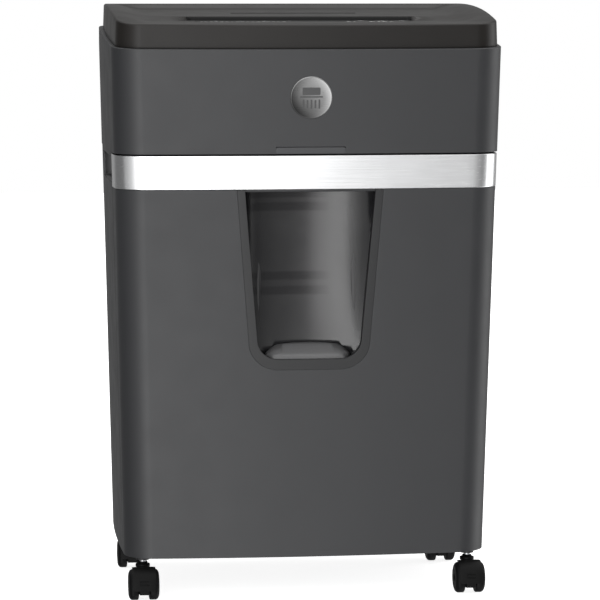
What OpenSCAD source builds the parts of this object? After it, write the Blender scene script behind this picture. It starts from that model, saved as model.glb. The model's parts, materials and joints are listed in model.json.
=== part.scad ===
// Paper shredder on casters: a cutter head on a cabinet, with a pull-out bin behind a silver band.
// Millimetres. Origin on the floor under the middle of the outer box; front faces -Y, +Z is up.

/* [Body] */
// Greatest width, at the top of the head's skirt
body_w = 380; // [372:1:388]
// Greatest depth, from the crown of the front to the flat rear
body_d = 256; // [252:1:264]
// Height from the floor to the top of the deck's rear rim
body_h = 574; // [572:0.5:578]
// Height of the cabinet's lower edge above the floor
cabinet_z = 40; // [39.5:0.5:42]
// How far each side leans in for each millimetre down
side_draft = 0.0223; // [0.01:0.001:0.03]
// How far the front leans in for each millimetre down
front_draft = 0.0513; // [0.04:0.001:0.055]
// How far the front crowns forward between its corners
front_bow = 8.3; // [6:0.1:10]
// How far the sides crown outward between front and rear
side_bow = 2.75; // [1:0.25:3]
// Radius of the front corners in plan
front_r = 27; // [24:1:30]
// Radius of the rear corners in plan
rear_r = 12; // [8:1:14]
// Thickness of the moulded walls
wall = 3; // [2.5:0.1:3.2]

/* [Head] */
// Height of the head skirt's lower edge
skirt_z = 432.3; // [432:0.1:433]
// Height of the skirt and deck seam at the front corners
seam_z = 532.4; // [531:0.2:534]
// Rise of that seam for each millimetre towards the rear
seam_rise = 0.0792; // [0.07:0.001:0.085]
// Step from the skirt's face in to the deck's face
deck_step = 3.5; // [3:0.1:4]
// Length of the paper slot, for A4 sheets
slot_len = 221; // [215:1:222]
// Width of the paper slot
slot_gap = 5.2; // [5:0.1:6]
// Distance of the paper slot from the middle of the depth
slot_y = -31.5; // [-32:0.5:-31]
// Length of the disc slot
disc_len = 124; // [122:1:128]
// Distance of the disc slot from the middle of the depth
disc_y = 22; // [20:0.5:24]
// Diameter of the plain badge
badge_d = 40.5; // [30:0.5:42]
// Travel of the soft keys
key_travel = 0.8; // [0.5:0.1:0.9]

/* [Bin] */
// Height of the silver band's lower edge
band_z = 398.5; // [397:0.5:399]
// Height of the band
band_h = 32.3; // [31.5:0.1:32.5]
// Where the front panel's side returns end
return_y = -62; // [-64:0.5:-61]
// Gap between the front panel's returns and the cabinet
seam_gap = 0.9; // [0.6:0.1:1.5]
// Half width of the window's frame under the band
frame_top = 70.5; // [68:0.5:72]
// Half width of the window's frame near its foot
frame_foot = 56.5; // [54:0.5:58]
// Height of the frame's lower edge
frame_z = 224; // [222:1:228]
// Radius of the frame's lower corners
frame_r = 27; // [24:1:30]
// Width of the frame's face
frame_w = 7.5; // [6:0.5:8]
// Depth of the scooped window behind the front
scoop_depth = 36; // [32:1:38]

/* [Cutter] */
// Radius of a cutting disc
cut_r = 25; // [24.5:0.1:25.2]
// Thickness of a cutting disc
cut_t = 3.6; // [3.2:0.1:3.6]
// Distance between two discs on one shaft
cut_pitch = 8; // [8:0.1:8.2]
// Number of discs on a shaft
cut_n = 27; // [20:1:27]
// Number of tooth notches around a disc
notch_n = 6; // [4:1:8]
// Height of both cutter shafts
cut_z = 480; // [479:0.5:481]

/* [Casters] */
// Radius of a caster wheel
wheel_r = 15; // [14.5:0.1:15]
// Width of a caster wheel
wheel_w = 9.4; // [9:0.1:9.6]
// Gap between a caster's two wheels
wheel_gap = 10.4; // [10:0.1:11]
// Distance of a swivel stem from the middle of the width
stem_x = 159.6; // [155:0.2:160]
// How far the stem stands behind the axle
trail = 12; // [11:0.5:13]
// Position of the front stems in the depth
stem_front_y = -82; // [-83:0.5:-80]
// Position of the rear stems in the depth
stem_rear_y = 91.2; // [88:0.2:92]

/* [Hidden] */
$fn = 48;

// Colours of the finished pieces
c_body = [0.30, 0.31, 0.32];
c_deck = [0.22, 0.21, 0.20];
c_black = [0.08, 0.08, 0.09];
c_silver = [0.85, 0.86, 0.87];
c_steel = [0.62, 0.63, 0.65];
c_smoke = [0.35, 0.36, 0.38, 0.5];
c_brass = [0.75, 0.6, 0.3];
c_nylon = [0.88, 0.87, 0.82];
c_board = [0.1, 0.35, 0.2];

// Outer form
rear_y = body_d / 2;
front_top_y = -body_d / 2 + front_bow;
cab_inset = 0.5;
cover = 1; // overshoot of a cutting shape past the face that it cuts
far = 600; // longer than any part of the object
bow_steps = 12;
side_steps = 4;
corner_steps = 5;

// Deck
top_r = 1330;
top_crest_y = 101;
apron_z = 556;
apron_rise = 0.024;
floor_z = 561.7;
floor_rise = 0.059;
dish_half = 160;
dish_front_y = -150;
dish_rear_y = 96;
dish_r = 35;
deck_floor_t = 3.5;
slot_flare = 2.6;
slot_flare_h = 4;

// Window
inner_top = frame_top - frame_w;
inner_foot = frame_foot - frame_w;
inner_z = frame_z + frame_w + 2.5;
inner_r = frame_r - frame_w;
band_top = band_z + band_h;
band_t = 2;
frame_t = 5;
scoop_wall = 2;
scoop_fit = 0.4;
ledge_rise = 13;

// Cutter block
half_gap = 23;
front_y = slot_y - half_gap;
back_y = slot_y + half_gap;
core_r = 20;
shaft_r = 6;
run_fit = 0.05; // radial clearance of a shaft in its bush
plate_x = 114;
plate_t = 3;
bush_r = 9;
sync_m = 2;
sync_n = 23;
sync_x = 120;
sync_w = 8;
main_m = 1.5;
main_n = 48;
small_n = 14;
main_x = 129.5;
main_w = 8;
wheel_m = 1;
wheel_n = 60;
pinion_n = 12;
wheel_x = 139;
gear_w = 7;
compound_y = back_y + main_m * (main_n + small_n) / 2;
motor_drop = 20;
motor_arm = wheel_m * (wheel_n + pinion_n) / 2;
motor_y = compound_y + sqrt(motor_arm * motor_arm - motor_drop * motor_drop);
motor_z = cut_z + motor_drop;
motor_angle = asin(motor_drop / motor_arm);
motor_r = 30;
motor_len = 104;
floor_top = 438;
floor_t = 4;
stud_r = 4;
pinion_shaft_r = 2.5;

// Keys and lamps on the deck's apron
key_x = [58, 78, 98];
key_w = 13;
key_d = 8;
key_y = -50;
key_gap = 0.4;
lamp_x = [-84, -60, -36, -12];
lamp_r = 1.6;
overlay_t = 0.6;
board_z = 543;
board_t = 1.6;
tact_h = 3; // height of the switches under the keys
lamp_foot = 2; // height of the lamps' bodies on the board

// Rear cover
cover_half = 120;
cover_z = [446, 536];
cover_t = 2.6;
gland_x = -92;
gland_z = 462;
gland_bore = 3.7;
rocker_x = -52;
rocker_z = 462;
rocker_tilt = 7;
screw_x = 112;

// Bin
tub_half = 160;
tub_front_y = -88;
tub_rear_y = 119;
tub_z = 57;
tub_top = 392;
tub_t = 2.2;
rail_x = 118;
boss_r = 5;
boss_x = 128;
boss_z = [110, 350];
rib_z = [286, 300, 368, 384]; // stiffening ribs of the tub's rear wall

// Casters
axle_z = wheel_r;
axle_r = 2;
hood_r = 17;
hood_in = wheel_r + 0.6;
hood_half = 11.3;
stem_r = 3;

// Half width, front and plan outline of the drafted body at one height
function half_w(z) = body_w / 2 - side_draft * max(0, seam_z - z);
function front_at(z) = front_top_y + front_draft * max(0, seam_z - z);
function arc(cx, cy, r, a0, a1) =
    [for (i = [0:corner_steps]) let (a = a0 + (a1 - a0) * i / corner_steps)
        [cx + r * cos(a), cy + r * sin(a)]];
function bowed(p, hw, mid, half) =
    let (t = (p.y - mid) / half, forward = min(1, max(0, -t)), across = min(1, abs(p.x) / hw))
    [p.x - sign(p.x) * side_bow * t * t * across, p.y - front_bow * (1 - pow(p.x / hw, 2)) * forward];
function raw_plan(hw, yf, yr, rf, rr) = concat(
    arc(hw - rr, yr - rr, rr, 0, 90),
    arc(-hw + rr, yr - rr, rr, 90, 180),
    [for (i = [1:side_steps - 1]) [-hw, yr - rr + (yf + rf - yr + rr) * i / side_steps]],
    arc(-hw + rf, yf + rf, rf, 180, 270),
    [for (i = [1:bow_steps - 1]) [-hw + rf + 2 * (hw - rf) * i / bow_steps, yf]],
    arc(hw - rf, yf + rf, rf, 270, 360),
    [for (i = [1:side_steps - 1]) [hw, yf + rf + (yr - rr - yf - rf) * i / side_steps]]);
function plan(z, inset) =
    let (hw = half_w(z) - inset, yf = front_at(z) + inset, yr = rear_y - inset)
    [for (p = raw_plan(hw, yf, yr, max(4, front_r - inset), max(3, rear_r - inset)))
        bowed(p, hw, (yf + yr) / 2, (yr - yf) / 2)];
function ring(z, inset) = [for (p = plan(z, inset)) [p.x, p.y, z]];

// Closed solid through a list of rings with equal numbers of points, lowest first
module skin(rings) {
    n = len(rings[0]);
    last = (len(rings) - 1) * n;
    sides = [for (k = [0:len(rings) - 2]) for (i = [0:n - 1])
        let (j = (i + 1) % n, a = k * n, b = a + n)
        for (f = [[a + i, b + i, b + j], [a + i, b + j, a + j]]) f];
    caps = [[for (i = [0:n - 1]) i], [for (i = [n - 1:-1:0]) last + i]];
    polyhedron([for (r = rings) for (p = r) p], concat(sides, caps), convexity = 6);
}

module body_form(z0, z1, inset) {
    skin([ring(z0, inset), ring(z1, inset)]);
}

module box(low, high) {
    translate(low) cube(high - low);
}

// Cylinders along X and Y, from one coordinate to another
module bar_x(x0, x1, y, z, r) {
    translate([x0, y, z]) rotate([0, 90, 0]) cylinder(h = x1 - x0, r = r);
}

module bar_y(y0, y1, x, z, r) {
    translate([x, y1, z]) rotate([90, 0, 0]) cylinder(h = y1 - y0, r = r);
}

// Extrudes a YZ outline along X
module along_x(x0, x1) {
    translate([x0, 0, 0]) rotate([90, 0, 90]) linear_extrude(x1 - x0) children();
}

// Everything above, or below, the inclined seam plane, raised by lift
module above_seam(lift) {
    translate([0, front_top_y, seam_z + lift]) rotate([atan(seam_rise), 0, 0])
        translate([-far / 2, -far / 2, 0]) cube([far, far, far / 4]);
}

module below_seam(lift) {
    translate([0, front_top_y, seam_z + lift]) rotate([atan(seam_rise), 0, 0])
        translate([-far / 2, -far / 2, -far / 2]) cube([far, far, far / 2]);
}

// ---------- Cabinet ----------

grip_y = [return_y, 78];
grip_z = [402, 428];
grip_in = 18;
grip_t = 2;
grip_root = 2.3; // how far behind the wall's outer face the liner ends
grip_floor = half_w(skirt_z) - cab_inset + 1 - grip_in;

module grip_liner(side) {
    x_out = half_w(skirt_z) - cab_inset - grip_root;
    x_in = grip_floor - grip_t;
    low = side > 0 ? x_in : -x_out;
    high = side > 0 ? x_out : -x_in;
    box([low, grip_y[0], grip_z[0] - grip_t], [high, grip_y[1] + grip_t, grip_z[1] + grip_t]);
}

module grip_cut(side) {
    x_out = half_w(skirt_z) + 5;
    low = side > 0 ? grip_floor : -x_out;
    high = side > 0 ? x_out : -grip_floor;
    box([low, grip_y[0] + seam_gap + 1.2, grip_z[0]], [high, grip_y[1], grip_z[1]]);
}

module cabinet_shell() {
    color(c_body) difference() {
        union() {
            difference() {
                body_form(cabinet_z, skirt_z, cab_inset);
                body_form(cabinet_z - 2 * cover, skirt_z + 2 * cover, cab_inset + wall);
            }
            grip_liner(1);
            grip_liner(-1);
        }
        grip_cut(1);
        grip_cut(-1);
        box([-far, -far, 0], [far, return_y + seam_gap, far]);
    }
}

module at_casters() {
    for (x = [-stem_x, stem_x], y = [stem_front_y, stem_rear_y]) translate([x, y, 0]) children();
}

base_z = cabinet_z + 1.5;
base_top = base_z + 5;
socket_z = 37.5;

module base_plate() {
    color(c_black) difference() {
        union() {
            intersection() {
                translate([0, 0, base_z]) linear_extrude(base_top - base_z)
                    polygon(plan(cabinet_z, cab_inset + wall + 0.3));
                box([-far, front_at(cabinet_z) + wall + 2.2, 0], [far, far, far]);
            }
            at_casters() translate([0, 0, socket_z]) cylinder(h = base_top + 6 - socket_z, r = 6.5);
        }
        at_casters() translate([0, 0, socket_z - cover]) cylinder(h = 20, r = stem_r);
    }
}

module caster_stems() {
    color(c_steel) at_casters() translate([0, 0, 22]) cylinder(h = 27, r = stem_r);
}

module bin_rails() {
    color(c_steel) for (s = [-1, 1]) difference() {
        box([s * rail_x - 10, -84, base_top], [s * rail_x + 10, 118, base_top + 5]);
        box([s * rail_x - 8, -85, base_top + 1.5], [s * rail_x + 8, 119, base_top + 6]);
    }
}

// ---------- Head ----------

flange_t = 4;
flange_in = 7;

module head_skirt() {
    color(c_body) difference() {
        skin([ring(skirt_z, 0), ring(seam_z, 0), ring(seam_z + 24, 0)]);
        intersection() {
            skin([ring(skirt_z - cover, wall), ring(seam_z, wall), ring(seam_z + 30, wall)]);
            below_seam(-flange_t);
        }
        skin([ring(skirt_z - cover, flange_in), ring(seam_z, flange_in), ring(seam_z + 30, flange_in)]);
        above_seam(0);
        box([-cover_half, rear_y - 20, cover_z[0]], [cover_half, rear_y + cover, cover_z[1]]);
        head_tab_form(0.3);
        badge_form(0.1);
    }
    color(c_body) for (x = [-screw_x, screw_x], z = cover_z) difference() {
        box([x - 4 - (x < 0 ? 7 : 0), rear_y - 11, screw_row(z) - 4],
            [x + 4 + (x > 0 ? 7 : 0), rear_y - cover_t, screw_row(z) + 4]);
        bar_y(rear_y - 12, rear_y, x, screw_row(z), 1.5);
    }
}

tab_half = 33.7;
tab_h = 6.5;

module head_tab_form(gap) {
    translate([0, front_at(skirt_z) - front_bow - 3, skirt_z - cover])
        intersection() {
            box([-tab_half - gap, 0, 0], [tab_half + gap, 5.5, tab_h + cover + gap]);
            translate([0, 10, 0]) rotate([90, 0, 0]) linear_extrude(20)
                polygon([[-tab_half - gap, -1], [tab_half + gap, -1], [tab_half + gap, tab_h - 1],
                    [tab_half - 1.5, tab_h + cover + gap], [-tab_half + 1.5, tab_h + cover + gap],
                    [-tab_half - gap, tab_h - 1]]);
        }
}

module head_tab() {
    color(c_body) difference() {
        intersection() {
            head_tab_form(0);
            body_form(skirt_z, skirt_z + 20, 0.1);
        }
        body_form(skirt_z - cover, skirt_z + 30, 2.4);
    }
}

badge_z = 486;
badge_t = 1.6;
badge_seat = 1; // how deep the badge sits in the skirt

module badge_form(gap) {
    y = front_at(badge_z) - front_bow + badge_seat + gap;
    translate([0, y, badge_z]) rotate([90 + atan(front_draft), 0, 0])
        cylinder(h = badge_t + gap, r = badge_d / 2 + gap);
}

module badge_disc() {
    color(c_silver) badge_form(0);
}

drop_half = 113;
drop_y = [-80, 17];

module head_floor() {
    color(c_black) difference() {
        union() {
            translate([0, 0, floor_top - floor_t]) linear_extrude(floor_t)
                polygon(plan(skirt_z, wall + 0.4));
            box([-drop_half - 2, drop_y[0] - 2, 424], [drop_half + 2, drop_y[1] + 2, floor_top]);
        }
        box([-drop_half, drop_y[0], 400], [drop_half, drop_y[1], 460]);
    }
}

// Deck: a skirted lid with a crowned top, dished behind the apron
deck_lean = 0.035;

function deck_ring(z, inset) = ring_at(z, inset + deck_step + deck_lean * (z - seam_z));
function ring_at(z, inset) = [for (p = plan(seam_z, inset)) [p.x, p.y, z]];
function apron_at(y) = apron_z + apron_rise * (y - front_top_y);
function floor_at(y) = floor_z + floor_rise * (y - slot_y);

module crown_cut(drop) {
    difference() {
        box([-far / 2, -far / 2, seam_z - 40], [far / 2, far / 2, seam_z + 90]);
        translate([-far, top_crest_y, body_h - drop - top_r]) rotate([0, 90, 0])
            cylinder(h = 2 * far, r = top_r, $fn = 256);
    }
}

// The space over the dished floor, lowered by drop and narrowed by inset
module dish(drop, inset) {
    lip = slot_y + slot_gap / 2 + slot_flare;
    intersection() {
        translate([0, 0, seam_z]) linear_extrude(60) hull() {
            for (s = [-1, 1]) translate([s * (dish_half - inset - dish_r), dish_rear_y - inset - dish_r])
                circle(r = dish_r, $fn = 32);
            translate([-dish_half + inset, dish_front_y]) square([2 * (dish_half - inset), 1]);
        }
        along_x(-far / 2, far / 2) polygon([[dish_front_y, apron_at(dish_front_y) - drop],
            [lip, apron_at(lip) - drop], [lip, floor_at(lip) - drop],
            [dish_rear_y, floor_at(dish_rear_y) - drop], [dish_rear_y, 620], [dish_front_y, 620]]);
    }
}

module flared_slot(y, len, top) {
    g = slot_gap / 2;
    along_x(-len / 2, len / 2) polygon([[y - g, top - 30], [y + g, top - 30], [y + g, top - slot_flare_h],
        [y + g + slot_flare, top + 2], [y - g - slot_flare, top + 2], [y - g, top - slot_flare_h]]);
}

module key_hole(x, gap) {
    w = key_w / 2 + gap;
    d = key_d / 2 + gap;
    box([x - w, key_y - d, board_z + 6], [x + w, key_y + d, apron_z + 10]);
}

post_spots = [[-92, -65], [100, -65]];

module top_deck() {
    color(c_deck) for (p = post_spots) translate([p[0], p[1], board_z + board_t])
        cylinder(h = apron_at(p[1]) - deck_floor_t / 2 - board_z - board_t, r = 3);
    color(c_deck) difference() {
        skin([deck_ring(seam_z - 4, 0), deck_ring(seam_z + 50, 0)]);
        below_seam(0);
        crown_cut(0);
        dish(0, 0);
        difference() {
            skin([deck_ring(seam_z - 6, wall), deck_ring(seam_z + 50, wall)]);
            crown_cut(deck_floor_t);
            dish(deck_floor_t, -deck_floor_t);
        }
        flared_slot(slot_y, slot_len, apron_at(slot_y));
        flared_slot(disc_y, disc_len, floor_at(disc_y));
        for (x = key_x) key_hole(x, key_gap);
        for (x = lamp_x) translate([x, key_y, board_z]) cylinder(h = 30, r = lamp_r + 0.1);
        overlay_form(0.1);
    }
}

// The printed overlay lies in a shallow recess of the apron
module overlay_form(gap) {
    z = apron_at(key_y) - overlay_t;
    box([-104 - gap, key_y - 8 - gap, z - gap], [108 + gap, key_y + 8 + gap, z + 8]);
}

module control_overlay() {
    color(c_black) difference() {
        intersection() {
            overlay_form(0);
            box([-far, -far, 0], [far, far, apron_at(key_y) - 0.1]);
        }
        for (x = key_x) key_hole(x, key_gap);
        for (x = lamp_x) translate([x, key_y, board_z]) cylinder(h = 30, r = lamp_r + 0.1);
    }
}

module indicator_lenses() {
    foot = board_z + board_t + lamp_foot;
    color(c_silver) for (x = lamp_x) translate([x, key_y, foot])
        cylinder(h = apron_at(key_y) - foot, r = lamp_r);
}

module soft_key(i) {
    w = key_w / 2;
    d = key_d / 2;
    top = apron_at(key_y) + 0.2;
    color(c_black) union() {
        box([key_x[i] - w, key_y - d, top - 3], [key_x[i] + w, key_y + d, top]);
        box([key_x[i] - 2, key_y - 2, board_z + board_t + tact_h + key_travel + 0.4],
            [key_x[i] + 2, key_y + 2, top - 2]);
    }
}

module control_board() {
    color(c_board) union() {
        box([-100, key_y - 20, board_z], [108, key_y + 9, board_z + board_t]);
        for (x = key_x)
            box([x - 3, key_y - 3, board_z + board_t], [x + 3, key_y + 3, board_z + board_t + tact_h]);
        for (x = lamp_x) translate([x, key_y, board_z + board_t]) cylinder(h = lamp_foot, r = lamp_r);
        box([-40, key_y - 18, board_z + board_t], [-28, key_y - 8, board_z + board_t + 2]);
        box([10, key_y - 18, board_z + board_t], [24, key_y - 8, board_z + board_t + 5]);
    }
}

// Paper throat over the nip, with the disc chute sloping into it
throat_top = 554.2;
throat_foot = 504;
throat_half = 4.2;
throat_t = 2;
chute_angle = 49;
chute_len = 66;
chute_top = 558;

module chute_form(half_len, half_width, overrun) {
    translate([0, disc_y, chute_top]) rotate([-chute_angle, 0, 0])
        box([-half_len, -half_width, -chute_len - overrun], [half_len, half_width, overrun]);
}

module feed_throat() {
    t = throat_half + throat_t;
    color(c_black) difference() {
        union() {
            box([-plate_x + 0.1, slot_y - t, throat_foot], [plate_x - 0.1, slot_y + t, throat_top]);
            intersection() {
                chute_form(disc_len / 2 + 2, throat_half + throat_t, 6);
                box([-far, slot_y, throat_foot + 3], [far, far, throat_top + 3.5]);
            }
        }
        box([-slot_len / 2, slot_y - throat_half, 0], [slot_len / 2, slot_y + throat_half, far]);
        intersection() {
            chute_form(disc_len / 2, throat_half, 12);
            box([-far, slot_y, throat_foot + 5], [far, far, far]);
        }
    }
}

// ---------- Cutter block ----------

module shaft_holes(x, r) {
    for (y = [front_y, back_y]) bar_x(x - cover, x + plate_t + cover, y, cut_z, r);
}

tie_spots = [[-88, 452], [-88, 516], [24, 452]];

module left_side_plate() {
    color(c_steel) difference() {
        box([-plate_x - plate_t, -96, floor_top], [-plate_x, 32, 524]);
        shaft_holes(-plate_x - plate_t, bush_r);
        for (t = tie_spots) bar_x(-plate_x - 10, -plate_x + 5, t[0], t[1], 2.5);
    }
}

module right_side_plate() {
    color(c_steel) difference() {
        box([plate_x, -96, floor_top], [plate_x + plate_t, 104, 524]);
        shaft_holes(plate_x, bush_r);
        for (t = tie_spots) bar_x(plate_x - 5, plate_x + 10, t[0], t[1], 2.5);
        bar_x(plate_x - 5, plate_x + 10, motor_y, motor_z, 9);
        bar_x(plate_x - 5, plate_x + 10, compound_y, cut_z, 2.5);
    }
}

module tie_rods() {
    color(c_steel) for (t = tie_spots) union() {
        bar_x(-plate_x, plate_x, t[0], t[1], 4);
        bar_x(-plate_x - plate_t - 2, plate_x + plate_t + 2, t[0], t[1], 2.5);
    }
}

module bush(x, dir, y) {
    color(c_brass) difference() {
        union() {
            bar_x(x, x + plate_t, y, cut_z, bush_r);
            bar_x(dir > 0 ? x + plate_t : x - 1.5, dir > 0 ? x + plate_t + 1.5 : x, y, cut_z, bush_r + 2);
        }
        bar_x(x - 5, x + plate_t + 5, y, cut_z, shaft_r + run_fit);
    }
}

module cutter_bushes() {
    for (y = [front_y, back_y]) {
        bush(plate_x, 1, y);
        bush(-plate_x - plate_t, -1, y);
    }
}

// Half profile of a cutter: [radius, position] along the shaft
function disc_steps(x) = [[core_r, x - cut_t / 2], [cut_r, x - cut_t / 2], [cut_r, x + cut_t / 2],
    [core_r, x + cut_t / 2]];
function cutter_profile(shift) = concat(
    [[0, -plate_x - 5], [shaft_r, -plate_x - 5], [shaft_r, -112], [core_r, -112]],
    [for (i = [0:cut_n - 1]) for (p = disc_steps(cut_pitch * (i - (cut_n - 1) / 2) + shift)) p],
    [[core_r, 112], [shaft_r, 112]]);

module cutter(y, shift, end) {
    notch = 3;
    color(c_steel) translate([0, y, cut_z]) difference() {
        rotate([0, 90, 0]) rotate_extrude()
            polygon(concat(cutter_profile(shift), [[shaft_r, end], [0, end]]));
        for (i = [0:notch_n - 1]) rotate([360 * i / notch_n, 0, 0])
            along_x(-111, 111) polygon([[cut_r - notch, 0], [cut_r + 2, 0], [cut_r + 2, notch + 2]]);
    }
}

cut_shift = cut_pitch / 4;

module front_cutter() {
    cutter(front_y, -cut_shift, sync_x + sync_w + 1);
}

module rear_cutter() {
    cutter(back_y, cut_shift, main_x + main_w + 1);
}

// Strips the paper off the discs: fingers reach between them towards the shaft
module comb(y, dir, shift) {
    finger = 3.2;
    root = y + dir * (cut_r + 1.5);
    outer = y + dir * (cut_r + 5.5);
    tip = y + dir * (core_r + 1);
    color(c_nylon) union() {
        box([-plate_x, min(root, outer), cut_z - 12], [plate_x, max(root, outer), cut_z + 12]);
        for (i = [0:cut_n - 2]) {
            x = cut_pitch * (i - (cut_n - 2) / 2) + shift;
            box([x - finger / 2, min(root, tip), cut_z - 5], [x + finger / 2, max(root, tip), cut_z + 5]);
        }
    }
}

module front_stripper_comb() {
    comb(front_y, -1, -cut_shift);
}

module rear_stripper_comb() {
    comb(back_y, 1, cut_shift);
}

// Involute spur gear: tooth outline by radius, with a little backlash
pressure = 20;
flank_steps = 3;
backlash = 0.12;

function inv(a) = tan(a) * 180 / PI - a;
function tooth_half(m, n, r) =
    let (rb = m * n / 2 * cos(pressure), s = (PI * m / 2 - backlash) / (m * n) * 180 / PI)
    s + inv(pressure) - (r > rb ? inv(acos(rb / r)) : 0);
function gear_outline(m, n) =
    let (tip = m * n / 2 + m, root = m * n / 2 - 1.25 * m, low = max(root, m * n / 2 * cos(pressure)))
    [for (i = [0:n - 1]) let (a = 360 * i / n) for (p = concat(
        [[root, -tooth_half(m, n, low)]],
        [for (k = [0:flank_steps]) let (r = low + (tip - low) * k / flank_steps) [r, -tooth_half(m, n, r)]],
        [for (k = [flank_steps:-1:0]) let (r = low + (tip - low) * k / flank_steps) [r, tooth_half(m, n, r)]],
        [[root, tooth_half(m, n, low)]])) [p[0] * cos(a + p[1]), p[0] * sin(a + p[1])]];

module gear(m, n, x, w, y, z, phase, bore) {
    translate([x, y, z]) rotate([phase, 0, 0]) rotate([90, 0, 90]) difference() {
        linear_extrude(w) polygon(gear_outline(m, n));
        translate([0, 0, -cover]) cylinder(h = w + 2 * cover, r = bore);
    }
}

module front_sync_gear() {
    color(c_steel) gear(sync_m, sync_n, sync_x, sync_w, front_y, cut_z, 0, shaft_r);
}

module rear_sync_gear() {
    color(c_steel) gear(sync_m, sync_n, sync_x, sync_w, back_y, cut_z, 180 + 180 / sync_n, shaft_r);
}

module main_gear() {
    color(c_steel) gear(main_m, main_n, main_x, main_w, back_y, cut_z, 0, shaft_r);
}

module compound_gear() {
    bore = stud_r + run_fit;
    color(c_nylon) union() {
        gear(main_m, small_n, main_x, wheel_x - main_x, compound_y, cut_z, 180 + 180 / small_n, bore);
        gear(wheel_m, wheel_n, wheel_x, gear_w, compound_y, cut_z, 0, bore);
    }
}

module motor_pinion() {
    phase = motor_angle + 180 + motor_angle * wheel_n / pinion_n + 180 / pinion_n;
    color(c_steel) union() {
        gear(wheel_m, pinion_n, wheel_x - 1, gear_w + 2, motor_y, motor_z, phase, pinion_shaft_r);
        bar_x(20, wheel_x + gear_w + 1, motor_y, motor_z, pinion_shaft_r);
    }
}

module gear_stud() {
    color(c_steel) union() {
        bar_x(plate_x - 2, plate_x + plate_t, compound_y, cut_z, 2.5);
        bar_x(plate_x + plate_t, wheel_x + gear_w + 1, compound_y, cut_z, stud_r);
        bar_x(plate_x + plate_t, main_x - 0.5, compound_y, cut_z, stud_r + 3);
    }
}

module motor_can() {
    color(c_black) difference() {
        union() {
            bar_x(plate_x - motor_len, plate_x, motor_y, motor_z, motor_r - 3);
            bar_x(plate_x - motor_len + 14, plate_x - 8, motor_y, motor_z, motor_r);
            bar_x(plate_x - motor_len - 5, plate_x - motor_len, motor_y, motor_z, 9);
            bar_x(plate_x - 1, plate_x + plate_t, motor_y, motor_z, 9);
        }
        bar_x(18, plate_x + plate_t + cover, motor_y, motor_z, pinion_shaft_r + run_fit);
    }
}

// Safety switch on the head's floor, worked by the top of the bin's front
switch_x = -140;
plunger_y = -92;
plunger_z = 419;
plunger_r = 2.5;

module interlock_switch() {
    color(c_black) difference() {
        box([switch_x - 7, plunger_y + 6, plunger_z - 6],
            [switch_x + 7, plunger_y + 24, floor_top - floor_t]);
        bar_y(plunger_y, plunger_y + 14, switch_x, plunger_z, plunger_r + run_fit);
    }
}

module interlock_plunger() {
    color(c_nylon) bar_y(plunger_y, plunger_y + 12, switch_x, plunger_z, plunger_r);
}

// ---------- Rear of the head ----------

module rear_cover() {
    y0 = rear_y - cover_t;
    color(c_body) difference() {
        box([-cover_half + 0.3, y0, cover_z[0] + 0.3], [cover_half - 0.3, rear_y, cover_z[1] - 0.3]);
        for (i = [0:9]) box([6, y0 - 1, 458 + 7 * i], [96, rear_y + 1, 461 + 7 * i]);
        bar_y(y0 - 1, rear_y + 1, gland_x, gland_z, 8);
        box([rocker_x - 13, y0 - 1, rocker_z - 9], [rocker_x + 13, rear_y + 1, rocker_z + 9]);
        for (x = [-screw_x, screw_x], z = cover_z) {
            bar_y(rear_y - 1.8, rear_y + 1, x, screw_row(z), 3.6);
            bar_y(y0 - 1, rear_y + 1, x, screw_row(z), 1.7);
        }
    }
}

function screw_row(z) = z < 490 ? z + 8 : z - 8;

module cover_screws() {
    color(c_steel) for (x = [-screw_x, screw_x], z = cover_z) union() {
        bar_y(rear_y - 1.8, rear_y - 0.4, x, screw_row(z), 3.3);
        bar_y(rear_y - 10, rear_y - 1.6, x, screw_row(z), 1.5);
    }
}

module cord_gland() {
    color(c_black) difference() {
        union() {
            bar_y(rear_y - 12, rear_y - 0.3, gland_x, gland_z, 8);
            bar_y(rear_y - 6, rear_y - cover_t, gland_x, gland_z, 10.5);
        }
        bar_y(rear_y - 20, rear_y + 5, gland_x, gland_z, gland_bore);
    }
}

module rocker_bezel() {
    color(c_black) difference() {
        box([rocker_x - 13, rear_y - 14, rocker_z - 9], [rocker_x + 13, rear_y - 0.2, rocker_z + 9]);
        box([rocker_x - 10.5, rear_y - 11, rocker_z - 7], [rocker_x + 10.5, rear_y + 1, rocker_z + 7]);
        bar_x(rocker_x - 12, rocker_x + 12, rear_y - 6, rocker_z, pin_r + run_fit);
    }
}

rocker_half = 5.9;
pin_r = 1.5;

module power_rocker() {
    color(c_black) translate([rocker_x, rear_y - 6, rocker_z]) union() {
        rotate([rocker_tilt, 0, 0]) box([-9.8, -3, -rocker_half], [9.8, 4.6, rocker_half]);
        bar_x(-11.8, 11.8, 0, 0, pin_r);
    }
}

// ---------- Bin ----------

// U-shaped outline of the window, seen from the front: half widths, foot, corner radius
module window_outline(top_half, foot_half, foot, r, top) {
    lean = (top_half - foot_half) / (band_z - foot);
    high_half = top_half + lean * (top - band_z);
    a = [for (i = [0:6]) let (t = 15 * i) [foot_half - r + r * sin(t), foot + r - r * cos(t)]];
    right = concat(a, [[high_half, top]]);
    left = [for (i = [len(right) - 1:-1:0]) [-right[i][0], right[i][1]]];
    polygon(concat(right, left));
}

module window_prism(top_half, foot_half, foot, r, top) {
    rotate([90, 0, 0]) linear_extrude(200) window_outline(top_half, foot_half, foot, r, top);
}

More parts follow.
